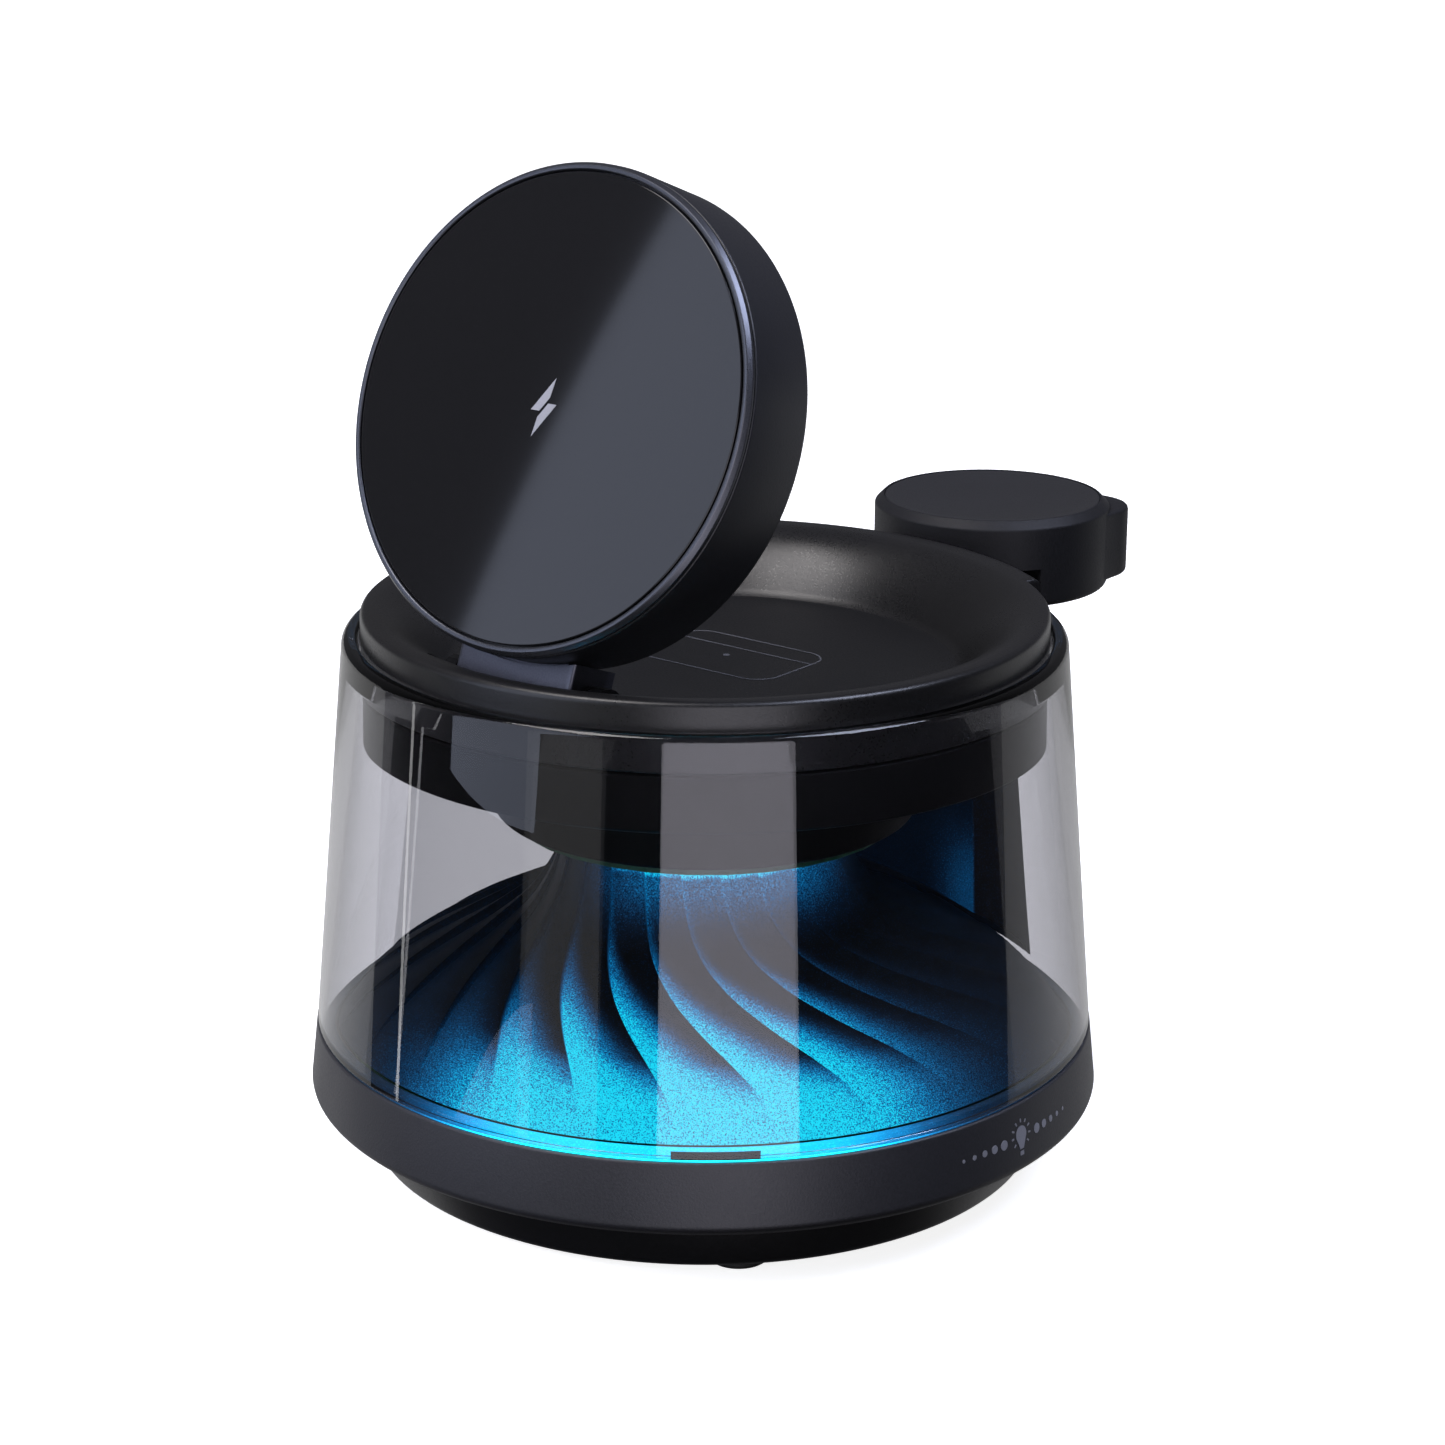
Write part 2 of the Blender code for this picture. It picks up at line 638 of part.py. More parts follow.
def make_watch_hinge():
    """The bracket reaches out of the rear of the housing, and its two ears hold the pod's pin."""
    y, z = POD_HINGE_Y, POD_HINGE_Z
    inner, outer = POD_KNUCKLE_HALF + 0.5, ARM_HALF
    low, high = z - POD_KNUCKLE_RADIUS, z + POD_KNUCKLE_RADIUS
    bracket = finish(
        "watch_hinge_bracket",
        block(-outer, outer, 37.0, y - POD_KNUCKLE_RADIUS - 0.6, low, high),
        "matt_black_plastic",
    )
    for side in (-1, 1):
        x0, x1 = sorted((side * inner, side * outer))
        name = "left" if side < 0 else "right"
        join(bracket, helper("cheek_" + name, block(x0, x1, y - 6, y, low, high)))
        join(bracket, helper("cheek_end_" + name, rod(x0, x1, y, z, POD_KNUCKLE_RADIUS)))
    cut(bracket, helper("watch_bracket_bore", rod(-ARM_HALF + 1.2, ARM_HALF - 1.2, y, z, BORE_RADIUS, 16)))
    reach = ARM_HALF - 1.6
    finish("watch_hinge_pin", rod(-reach, reach, y, z, PIN_RADIUS, 16), "steel")


def pod_outline(radius, steps=40):
    """A circle at the front that turns into a rounded square at the rear."""
    corner = 6.0
    front = arc(0, 0, radius, 180, 360, steps // 2)
    rear = arc(radius - corner, radius - corner, corner, 0, 90, 4)
    rear += arc(-radius + corner, radius - corner, corner, 90, 180, 4)
    return front + rear


def make_watch_pod(hinge):
    """Drawn in the place where it lies level, relative to its hinge axis."""
    back = POD_CENTRE - POD_HINGE_Y
    drop = -POD_HINGE_Z

    def place(name, shape, finish_name):
        return finish(name, moved(shape, 0, back, drop), finish_name, hinge)

    def tool(name, shape):
        return helper(name, moved(shape, 0, back, drop), hinge)

    shell = place(
        "watch_pod_shell",
        turned(
            [
                (0, POD_BOTTOM),
                (POD_RADIUS - 0.8, POD_BOTTOM),
                (POD_RADIUS, POD_BOTTOM + 0.8),
                (POD_RADIUS, POD_TOP - 1.1),
                (POD_RADIUS - 1.1, POD_TOP),
                (POD_RADIUS - 1.2, POD_TOP - 0.1),
                (POD_RADIUS - 1.2, 66.9),
                (0, 66.9),
            ],
            40,
        ),
        "matt_black_plastic",
    )
    tail = tool("pod_tail", prism(pod_outline(POD_TAIL_HALF), POD_TAIL_BOTTOM, POD_TAIL_TOP))
    cut(tail, tool("pod_tail_front", block(-20, 20, -20, 0, 50, 80)))
    cut(tail, tool("pod_tail_middle", disc(POD_RADIUS - 1.2, 60.0, 80.0, 40)))
    join(shell, tail)
    cut(shell, tool("pod_cavity", block(-9, 9, -6.4, 9, 62.1, 68.0)))
    recess_end = POD_HINGE_Y + POD_KNUCKLE_RADIUS + 0.5 - POD_CENTRE
    cut(shell, tool("pod_recess", block(-ARM_HALF - 0.4, ARM_HALF + 0.4, -20, recess_end, 55, 65.9)))
    knuckle = helper("pod_knuckle", rod(-POD_KNUCKLE_HALF, POD_KNUCKLE_HALF, 0, 0, POD_KNUCKLE_RADIUS), hinge)
    low, high = -POD_KNUCKLE_RADIUS, POD_KNUCKLE_RADIUS
    web = helper("pod_web", block(-POD_KNUCKLE_HALF, POD_KNUCKLE_HALF, 0, 4.6, low + 1.6, high), hinge)
    join(shell, knuckle, web)
    cut(shell, helper("pod_bore", rod(-20, 20, 0, 0, BORE_RADIUS, 16), hinge))

    dish = [(0, 68.8), (13.9, 68.8), (14.5, 69.4), (14.5, POD_TOP - 0.2), (14.4, POD_TOP - 0.1)]
    rim = len(dish)
    for i in range(1, 5):
        # The charging face sinks as a shallow bowl that fits a watch's curved back.
        share = i / 5
        dish.append((14.1 * (1 - share), POD_TOP - 0.1 - PAD_SINK * (1 - (1 - share) ** 2)))
    dish.insert(rim, (14.1, POD_TOP - 0.1))
    dish.append((0, POD_TOP - 0.1 - PAD_SINK))
    place("watch_pad", turned(dish, 40), "satin_black_plastic")
    place("watch_ferrite", disc(12.5, 67.2, 67.6, 24), "ferrite")
    place("watch_coil", ring(4.2, 12.0, 67.9, 68.5, 24), "copper")
    place("watch_magnet", disc(3.6, 67.9, 68.5, 16), "steel")
    place("watch_board", block(-8, 8, -5.4, 8, 62.4, 63.6), "circuit_board")


def hinge_empty(name, y, z, angle):
    empty = bpy.data.objects.new(name, None)
    bpy.context.scene.collection.objects.link(empty)
    empty.location = (0, y * MM, z * MM)
    empty.rotation_euler = (math.radians(angle), 0, 0)
    return empty


def main():
    clear_scene()
    phone_axis = hinge_empty("phone_axis", DISC_HINGE_Y, DISC_HINGE_Z, DISC_OPEN_ANGLE)
    watch_axis = hinge_empty("watch_axis", POD_HINGE_Y, POD_HINGE_Z, 0)
    make_base()
    make_reflector()
    make_spine()
    make_cover()
    make_upper_housing()
    make_lid()
    make_phone_hinge(phone_axis)
    make_phone_disc(phone_axis)
    make_watch_hinge()
    make_watch_pod(watch_axis)


main()
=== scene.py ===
"""The looks of a bedside charging stand: fine meshes and materials for its lit base, smoked cover, swirl
reflector, dished lid, phone disc and watch pod, with a pale studio round it.

Shapes are drawn in millimetres in the frame of the CAD model: +Z up, -Y the front, the origin under the
middle of the base. The phone disc is drawn lying flat in its hinge's own frame and then turned upright.
Polar angles are in degrees, 0 at +X and 90 at +Y.
"""

import json
import math

import bmesh
import bpy
from mathutils import Matrix, Vector

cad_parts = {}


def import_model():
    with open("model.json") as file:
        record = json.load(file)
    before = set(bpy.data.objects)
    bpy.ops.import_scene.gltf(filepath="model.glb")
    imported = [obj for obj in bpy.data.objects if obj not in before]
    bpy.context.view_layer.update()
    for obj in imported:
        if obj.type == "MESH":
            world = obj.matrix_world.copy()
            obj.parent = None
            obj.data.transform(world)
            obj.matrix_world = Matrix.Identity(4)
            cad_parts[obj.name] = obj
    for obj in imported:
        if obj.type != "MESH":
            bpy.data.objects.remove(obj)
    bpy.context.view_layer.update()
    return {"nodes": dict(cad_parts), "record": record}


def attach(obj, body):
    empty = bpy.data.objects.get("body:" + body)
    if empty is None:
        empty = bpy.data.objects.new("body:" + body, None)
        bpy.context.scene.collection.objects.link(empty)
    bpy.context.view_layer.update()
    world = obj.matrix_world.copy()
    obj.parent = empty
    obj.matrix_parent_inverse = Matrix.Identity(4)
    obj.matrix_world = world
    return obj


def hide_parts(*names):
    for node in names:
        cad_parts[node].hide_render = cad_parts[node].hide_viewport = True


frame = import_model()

MM = 0.001
GAP = 0.3  # what neighbouring pieces keep between them
SEGMENTS = 192
FINE_SEGMENTS = 256
THROUGH = 20.0  # reach of a cut that goes right through a hinge

# Sizes that the CAD model gives these pieces
RING_TOP = 17.4
RING_TOP_RADIUS = 49.1
RING_BOTTOM = 8.4
RING_EDGE = 0.9
RING_WALL = 4.8
RING_LIP = 2.0
BASE_RADIUS = 50.0
DECK_TOP = 16.4
DECK_PLATE = 1.6
DECK_HOLE_RADIUS = 12.0
PLINTH_RADIUS = 42.8
PLINTH_BOTTOM = 0.9
PLINTH_INSIDE = 3.5
FOOT_CIRCLE = 37.5
FOOT_RADIUS = 3.8
FOOT_HEIGHT = 2.0
SCREW_CIRCLE = 36.0
SCREW_HEAD_RADIUS = 2.4
SCREW_HOLE_RADIUS = 1.3
INLET_HEIGHT = 11.7
INLET_HALF_WIDTH = 4.8
INLET_HALF_HEIGHT = 1.95
COVER_BOTTOM = 17.7
COVER_FOOT_RADIUS = 49.0
COVER_SHOULDER = 63.5
COVER_SHOULDER_RADIUS = 45.0
COVER_TOP = 67.3
COVER_WALL = 2.0
REAR_SECTOR = 35.5
REAR_RIM = 66.1
HOUSING_RADIUS = 42.5
HOUSING_BOTTOM = 55.1
HOUSING_TOP = 62.0
HOUSING_WALL = 1.6
HOOD_RADIUS = 26.6
HOOD_BOTTOM = 45.1
LID_RADIUS = 42.5
LID_CREST = 70.6
LID_CREST_RADIUS = 41.2
LID_FLOOR = 63.0
LID_FLOOR_RADIUS = 31.4
DISC_HINGE_Y = -33.0
DISC_HINGE_Z = 66.0
DISC_OPEN_ANGLE = 69
DISC_RADIUS = 28.9
DISC_CENTRE = 33.0
DISC_BACK = -2.45
DISC_FACE = 9.45
DISC_GLASS_RADIUS = 27.6
DISC_KNUCKLE = 3.9
DISC_KNUCKLE_HALF = 8.8
POD_CENTRE = 62.8
POD_RADIUS = 16.0
POD_BOTTOM = 60.6
POD_TOP = 72.5
POD_FLOOR = 66.9
PAD_SINK = 1.6
POD_TAIL_TOP = 71.0
POD_TAIL_BOTTOM = 61.6
POD_TAIL_HALF = 15.1
POD_HINGE_Y = 50.8
POD_HINGE_Z = 62.3
POD_KNUCKLE = 3.2
POD_KNUCKLE_HALF = 8.2
ARM_HALF = 13.3
ARM_CLEARANCE = 0.4
BORE_RADIUS = 1.55

UPRIGHT = Matrix.Rotation(math.radians(DISC_OPEN_ANGLE), 4, "X")
DISC_HINGE = Matrix.Translation((0, DISC_HINGE_Y, DISC_HINGE_Z)) @ UPRIGHT

# The camera, in metres, radians and millimetres of lens. VIEW_POLAR is the side that it stands on
VIEW_POLAR = -51.5
CAMERA_REACH = 0.420
CAMERA_HEIGHT = 0.18666
CAMERA_YAW = 0.0052
CAMERA_PITCH = 0.3036
CAMERA_ROLL = -0.0059
LENS = 87.94


# Profiles and meshes


def filleted(corners, steps=6):
    """Corners given as (x, y, fillet radius) become a line of points with an arc at each corner."""
    points = []
    for i, (x, y, size) in enumerate(corners):
        here = Vector((x, y))
        if size == 0:
            points.append(here)
            continue
        back = Vector(corners[i - 1][:2]) - here
        ahead = Vector(corners[(i + 1) % len(corners)][:2]) - here
        half = back.angle(ahead) / 2
        reach = min(size / math.tan(half), 0.48 * back.length, 0.48 * ahead.length)
        radius = reach * math.tan(half)
        centre = here + (back.normalized() + ahead.normalized()).normalized() * (radius / math.sin(half))
        start = here + back.normalized() * reach - centre
        end = here + ahead.normalized() * reach - centre
        sweep = start.angle(end)
        for k in range(steps + 1):
            share = k / steps
            spoke = start * math.sin((1 - share) * sweep) + end * math.sin(share * sweep)
            points.append(centre + spoke / math.sin(sweep))
    return points


def smooth_line(points, steps):
    """A Catmull-Rom line through the points, with that many steps from each to the next."""
    ends = [2 * Vector(points[0]) - Vector(points[1])]
    ends += [Vector(p) for p in points]
    ends += [2 * Vector(points[-1]) - Vector(points[-2])]
    line = []
    for a, b, c, d in zip(ends, ends[1:], ends[2:], ends[3:]):
        slope = c - a
        bend = 2 * a - 5 * b + 4 * c - d
        twist = 3 * b - a - 3 * c + d
        for k in range(steps):
            t = k / steps
            line.append(0.5 * (2 * b + slope * t + bend * t * t + twist * t**3))
    line.append(ends[-2])
    return line


def arc(cx, cy, radius, start, end, steps):
    points = []
    for i in range(steps + 1):
        turn = math.radians(start + (end - start) * i / steps)
        points.append(Vector((cx + radius * math.cos(turn), cy + radius * math.sin(turn))))
    return points


def polar_point(radius, angle, height):
    turn = math.radians(angle)
    return radius * math.cos(turn), radius * math.sin(turn), height


def turned(profile, segments=SEGMENTS, extra=(), shape_point=None):
    """A solid of revolution about Z, from points of radius and height. One that starts and ends on the axis
    is closed there, and any other profile is a loop. shape_point may move a point: radius, height, angle."""
    pitch = 360.0 / segments
    angles = [pitch * i for i in range(segments)]
    angles = sorted([a for a in angles if all(abs(a - b) > 0.3 * pitch for b in extra)] + list(extra))
    shape = bmesh.new()
    rows = []
    for radius, height in profile:
        if radius == 0:
            rows.append([shape.verts.new((0, 0, height))] * len(angles))
            continue
        row = []
        for angle in angles:
            r, z = shape_point(radius, height, angle) if shape_point else (radius, height)
            row.append(shape.verts.new(polar_point(r, angle, z)))
        rows.append(row)
    pairs = list(zip(rows, rows[1:]))
    if profile[0][0] != 0:
        pairs.append((rows[-1], rows[0]))
    for low, high in pairs:
        for i in range(len(angles)):
            j = (i + 1) % len(angles)
            corners = []
            for vert in (low[i], low[j], high[j], high[i]):
                if vert not in corners:
                    corners.append(vert)
            if len(corners) > 2:
                shape.faces.new(corners)
    return shape


def close_between(shape, bottom, top):
    """Faces for a solid between two matching outlines."""
    shape.faces.new(bottom[::-1])
    shape.faces.new(top)
    for i in range(len(bottom)):
        j = (i + 1) % len(bottom)
        shape.faces.new((bottom[i], bottom[j], top[j], top[i]))


def prism(outline, low, high):
    """An outline in X and Y, raised from one height to another."""
    shape = bmesh.new()
    bottom = [shape.verts.new((x, y, low)) for x, y in outline]
    top = [shape.verts.new((x, y, high)) for x, y in outline]
    close_between(shape, bottom, top)
    return shape


def block(x0, x1, y0, y1, z0, z1):
    return prism([(x0, y0), (x1, y0), (x1, y1), (x0, y1)], z0, z1)


def disc(radius, low, high, segments=64):
    return turned([(0, low), (radius, low), (radius, high), (0, high)], segments)


def rod(x0, x1, y, z, radius, segments=64):
    """A cylinder along X."""
    shape = prism(arc(0, 0, radius, 0, 360 - 360 / segments, segments - 1), x0, x1)
    return put(shape, Matrix.Translation((0, y, z)) @ Matrix.Rotation(math.radians(90), 4, "Y"))


def slot_bar(half_width, half_height, y0, y1, z):
    """A bar along Y with the section of a slot."""
    outline = arc(half_width - half_height, 0, half_height, -90, 90, 16)
    outline += arc(half_height - half_width, 0, half_height, 90, 270, 16)
    upright = Matrix.Rotation(math.radians(90), 4, "X")
    return put(prism(outline, -y1, -y0), Matrix.Translation((0, 0, z)) @ upright)


def put(shape, matrix):
    bmesh.ops.transform(shape, matrix=matrix, verts=shape.verts)
    return shape


def moved(shape, x, y, z=0.0):
    return put(shape, Matrix.Translation((x, y, z)))


def bevelled(shape, width, steps=3, least_angle=30):
    """Rounds the edges that are sharper than an angle."""
    bmesh.ops.recalc_face_normals(shape, faces=shape.faces)
    least = math.radians(least_angle)
    edges = [e for e in shape.edges if e.is_manifold and e.calc_face_angle(0) > least]
    bmesh.ops.bevel(
        shape,
        geom=edges,
        offset=width,
        segments=steps,
        profile=0.5,
        affect="EDGES",
        clamp_overlap=True,
    )
    return shape


def to_object(name, shape):
    bmesh.ops.recalc_face_normals(shape, faces=shape.faces)
    put(shape, Matrix.Scale(MM, 4))
    mesh = bpy.data.meshes.new(name)
    shape.to_mesh(mesh)
    shape.free()
    obj = bpy.data.objects.new(name, mesh)
    bpy.context.scene.collection.objects.link(obj)
    return obj


def combine(obj, operation, shapes):
    """Cuts shapes out of an object, or joins them to it, and keeps the result as its plain mesh."""
    tools = []
    for i, shape in enumerate(shapes):
        tool = to_object(obj.name + "_tool_" + str(i), shape)
        modifier = obj.modifiers.new(tool.name, "BOOLEAN")
        modifier.operation = operation
        modifier.solver = "EXACT"
        modifier.object = tool
        tools.append(tool)
    graph = bpy.context.evaluated_depsgraph_get()
    graph.update()
    mesh = bpy.data.meshes.new_from_object(obj.evaluated_get(graph))
    obj.modifiers.clear()
    obj.data = mesh
    for tool in tools:
        bpy.data.objects.remove(tool)
    return obj


def dress(obj, material, body, stands_for=(), sharp=32):
    """Gives a piece its material and smooth shading, hangs it on the empty of the body that it rides on, and
    hides the CAD nodes that it stands for.
    """
    obj.data.materials.clear()
    obj.data.materials.append(material)
    obj.data.shade_smooth()
    obj.data.set_sharp_from_angle(angle=math.radians(sharp))
    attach(obj, body)
    if stands_for:
        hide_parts(*stands_for)
    return obj


# Materials


class Tree:
    """A small builder of shader nodes. An input is given by its name, with _ for each space."""

    def __init__(self, tree):
        self.tree = tree

    def feed(self, socket, value):
        if isinstance(value, bpy.types.NodeSocket):
            self.tree.links.new(value, socket)
        else:
            socket.default_value = value

    def add(self, kind, **inputs):
        node = self.tree.nodes.new(kind)
        for name, value in inputs.items():
            self.feed(node.inputs[name.replace("_", " ")], value)
        return node

    def maths(self, operation, first, second=0.0, clamp=False):
        node = self.tree.nodes.new("ShaderNodeMath")
        node.operation = operation
        node.use_clamp = clamp
        self.feed(node.inputs[0], first)
        self.feed(node.inputs[1], second)
        return node.outputs[0]

    def ramp(self, factor, stops):
        node = self.add("ShaderNodeValToRGB", Fac=factor)
        marks = node.color_ramp.elements
        while len(marks) < len(stops):
            marks.new(0.5)
        for mark, (position, colour) in zip(marks, stops):
            mark.position = position
            mark.color = (*colour, 1.0)
        return node.outputs["Color"]


class Surface(Tree):
    """A material and the nodes that feed its shader."""

    def __init__(self, name):
        self.material = bpy.data.materials.new(name)
        self.material.use_nodes = True
        super().__init__(self.material.node_tree)
        self.shader = self.tree.nodes["Principled BSDF"]

    def place(self):
        return self.add("ShaderNodeTexCoord").outputs["Object"]

    def noise(self, size, detail=2.0):
        """Noise whose features are about that many millimetres across."""
        scale = 1 / (size * MM)
        node = self.add("ShaderNodeTexNoise", Vector=self.place(), Scale=scale, Detail=detail, Roughness=0.55)
        return node.outputs["Fac"]

    def spread(self, factor, low, high):
        """Maps the middle of a noise to a range."""
        node = self.add("ShaderNodeMapRange", Value=factor, From_Min=0.3, From_Max=0.7)
        self.feed(node.inputs["To Min"], low)
        self.feed(node.inputs["To Max"], high)
        return node.outputs["Result"]

    def set(self, **inputs):
        for name, value in inputs.items():
            self.feed(self.shader.inputs[name.replace("_", " ")], value)

    def bump(self, height, depth):
        node = self.add("ShaderNodeBump", Height=height, Distance=depth * MM, Strength=1.0)
        self.set(Normal=node.outputs["Normal"])


TONE_RANGE = 0.12


def grained(name, colour, roughness, grain=0.28, depth=0.02, metallic=0.0, specular=0.5):
    """Moulded or blasted surface: fine grain in height and tone, and slow patches of gloss."""
    nodes = Surface(name)
    fine = nodes.noise(grain)
    low = tuple(c * (1 - TONE_RANGE) for c in colour)
    high = tuple(c * (1 + TONE_RANGE) for c in colour)
    nodes.set(Base_Color=nodes.ramp(fine, [(0.35, low), (0.65, high)]))
    nodes.set(Metallic=metallic, Specular_IOR_Level=specular)
    patches = nodes.noise(14.0)
    gloss = nodes.maths("ADD", nodes.spread(patches, -0.03, 0.03), nodes.spread(fine, -0.05, 0.05))
    nodes.set(Roughness=nodes.maths("ADD", gloss, roughness))
    nodes.bump(fine, depth)
    return nodes.material


# Colours of the emitted light, from none to full: the light guide's own light, and the painted light on the
# reflector and the spine
GLOW_STOPS = [
    (0.0, (0.0, 0.0, 0.0)),
    (0.12, (0.0004, 0.006, 0.018)),
    (0.32, (0.0015, 0.045, 0.125)),
    (0.55, (0.003, 0.16, 0.38)),
    (0.78, (0.005, 0.38, 0.66)),
    (1.0, (0.008, 0.70, 0.86)),
]


def glow_and_painted_light(name, base, strength, speckle):
    """Dark plastic with cyan emission: the attribute "glow" says how much light falls on each point. On the
    light guide that is the lamp's own light; on the reflector and the spine it is painted light, standing in
    for the lamps' light that falls on them.
    """
    nodes = Surface(name)
    glow = nodes.add("ShaderNodeAttribute")
    glow.attribute_name = "glow"
    grain = nodes.noise(0.17, 1.0)
    lit = nodes.maths("MULTIPLY", glow.outputs["Fac"], nodes.spread(grain, 1 - speckle, 1 + speckle))
    # Sparse bright specks added to the emission, on the lamp's ring as well as in the painted light on the
    # reflector and the spine
    sparks = nodes.maths("MAXIMUM", nodes.spread(nodes.noise(0.2, 0.0), -0.28, 0.09), 0.0)
    lit = nodes.maths("ADD", lit, sparks)
    nodes.set(Emission_Color=nodes.ramp(lit, GLOW_STOPS), Emission_Strength=strength)
    tones = [(0.35, tuple(0.7 * c for c in base)), (0.65, tuple(1.3 * c for c in base))]
    nodes.set(Base_Color=nodes.ramp(grain, tones), Roughness=0.5, Specular_IOR_Level=0.1)
    nodes.bump(grain, 0.006)
    return nodes.material


def smoked_glass(name):
    """See-through smoke grey acrylic, with the faintest ripple in its polish."""
    nodes = Surface(name)
    nodes.set(Base_Color=(0.64, 0.64, 0.675, 1.0), Roughness=0.0, IOR=1.47, Transmission_Weight=1.0)
    nodes.bump(nodes.noise(25.0, 0.0), 0.0006)
    return nodes.material


def dark_glass(name):
    """Polished cover glass over black ink, with a trace of orange peel."""
    nodes = Surface(name)
    ink = nodes.ramp(nodes.noise(0.2), [(0.3, (0.009, 0.009, 0.010)), (0.7, (0.012, 0.012, 0.013))])
    nodes.set(Base_Color=ink, Roughness=0.07, IOR=1.5, Specular_IOR_Level=0.5)
    nodes.bump(nodes.noise(6.0, 1.0), 0.0015)
    return nodes.material


def printed(name, colour):
    """A thin layer of screen-printed ink."""
    nodes = Surface(name)
    grain = nodes.noise(0.12)
    tones = [(0.3, tuple(0.85 * c for c in colour)), (0.7, colour)]
    nodes.set(Base_Color=nodes.ramp(grain, tones), Roughness=0.5)
    nodes.bump(grain, 0.005)
    return nodes.material


def board_mask(name):
    """Green solder mask with the faint relief of its tracks."""
    nodes = Surface(name)
    cells = nodes.add("ShaderNodeTexVoronoi", Vector=nodes.place(), Scale=1 / (1.6 * MM))
    tracks = nodes.ramp(cells.outputs["Distance"], [(0.2, (0.004, 0.05, 0.022)), (0.5, (0.010, 0.085, 0.04))])
    nodes.set(Base_Color=tracks, Roughness=0.4)
    nodes.bump(cells.outputs["Distance"], 0.03)
    return nodes.material


def wound(name):
    """Enamelled copper wire, whose turns show as fine ridges."""
    nodes = Surface(name)
    rings = nodes.add("ShaderNodeTexWave", Vector=nodes.place(), Scale=900)
    rings.wave_type = "RINGS"
    rings.rings_direction = "Z"
    tones = [(0.2, (0.35, 0.12, 0.04)), (0.8, (0.80, 0.36, 0.16))]
    nodes.set(Base_Color=nodes.ramp(rings.outputs["Fac"], tones), Metallic=1.0, Roughness=0.35)
    nodes.bump(rings.outputs["Fac"], 0.05)
    return nodes.material


matt_black = grained("matt_black", (0.026, 0.026, 0.031), 0.46)
lid_black = grained("lid_black", (0.0095, 0.0093, 0.0098), 0.33, depth=0.012)
satin_black = grained("satin_black", (0.008, 0.008, 0.0095), 0.36, depth=0.010)
disc_black = grained("disc_black", (0.017, 0.0175, 0.022), 0.38, depth=0.012)
pod_black = grained("pod_black", (0.012, 0.012, 0.014), 0.55, specular=0.3)
pad_black = grained("pad_black", (0.017, 0.017, 0.019), 0.50, grain=0.2)
# A darker, less shiny copy of satin black for the pieces inside the cover: its extra darkness is painted
# shade.
shaded_inner_black = grained("shaded_inner_black", (0.003, 0.003, 0.0034), 0.5, depth=0.004, specular=0.10)
arm_metal = grained("arm_metal", (0.095, 0.098, 0.125), 0.36, grain=0.2, depth=0.012, metallic=0.55)
bezel_metal = grained("bezel_metal", (0.10, 0.104, 0.12), 0.33, grain=0.12, depth=0.0015, metallic=0.85)
steel = grained("steel", (0.05, 0.05, 0.053), 0.38, grain=0.15, depth=0.004, metallic=0.8)
rubber = grained("rubber", (0.011, 0.011, 0.011), 0.7, grain=0.2, depth=0.03)
ferrite = grained("ferrite", (0.06, 0.06, 0.065), 0.6, metallic=0.1)
# The reflector and the spine carry painted light: emission that stands in for the lamps' light falling on
# them. The light guide is the lamp itself.
reflector_painted_glow = glow_and_painted_light("reflector_painted_glow", (0.002, 0.003, 0.004), 1.75, 0.6)
spine_painted_glow = glow_and_painted_light("spine_painted_glow", (0.005, 0.005, 0.006), 1.6, 0.22)
guide_glow = glow_and_painted_light("guide_glow", (0.01, 0.02, 0.03), 3.2, 0.05)
smoked = smoked_glass("smoked_acrylic_look")
glass_black = dark_glass("glass_black")
print_light = printed("print_light", (0.34, 0.34, 0.38))
print_grey = printed("print_grey", (0.17, 0.17, 0.18))
board_green = board_mask("board_green")
copper = wound("copper_winding")

SLOT_LOOKS = {
    "matt_black_plastic": matt_black,
    "satin_black_plastic": satin_black,
    "smoked_acrylic": smoked,
    "reflector_black": reflector_painted_glow,
    "light_guide": guide_glow,
    "dark_glass": glass_black,
    "satin_metal": arm_metal,
    "steel": steel,
    "rubber": rubber,
    "circuit_board": board_green,
    "copper": copper,
    "ferrite": ferrite,
}

for subpart in frame["record"]["subparts"]:
    node = frame["nodes"][subpart["node"]]
    for material_slot in node.material_slots:
        material_slot.material = SLOT_LOOKS[subpart["material_slot"]]


# Base


def four_at(radius, first):
    for i in range(4):
        turn = math.radians(first + 90 * i)
        yield radius * math.cos(turn), radius * math.sin(turn)


def base_ring():
    lip, inner, deck_bottom = RING_TOP_RADIUS - RING_LIP, BASE_RADIUS - RING_WALL, DECK_TOP - DECK_PLATE
    profile = filleted(
        [
            (lip, RING_TOP, 0.15),
            (RING_TOP_RADIUS, RING_TOP, 0.35),
            (BASE_RADIUS, RING_BOTTOM + RING_EDGE, 1.2),
            (BASE_RADIUS - 1.0, RING_BOTTOM, 0.5),
            (inner, RING_BOTTOM, 0.2),
            (inner, deck_bottom, 0),
            (DECK_HOLE_RADIUS, deck_bottom, 0),
            (DECK_HOLE_RADIUS, DECK_TOP, 0),
            (lip, DECK_TOP, 0.1),
        ]
    )
    ring = to_object("base_ring_fine", turned(profile, FINE_SEGMENTS))
    inlet = slot_bar(INLET_HALF_WIDTH, INLET_HALF_HEIGHT, 43.0, 52.0, INLET_HEIGHT)
    combine(ring, "DIFFERENCE", [inlet])
    dress(ring, matt_black, "stand", ["base_ring"])


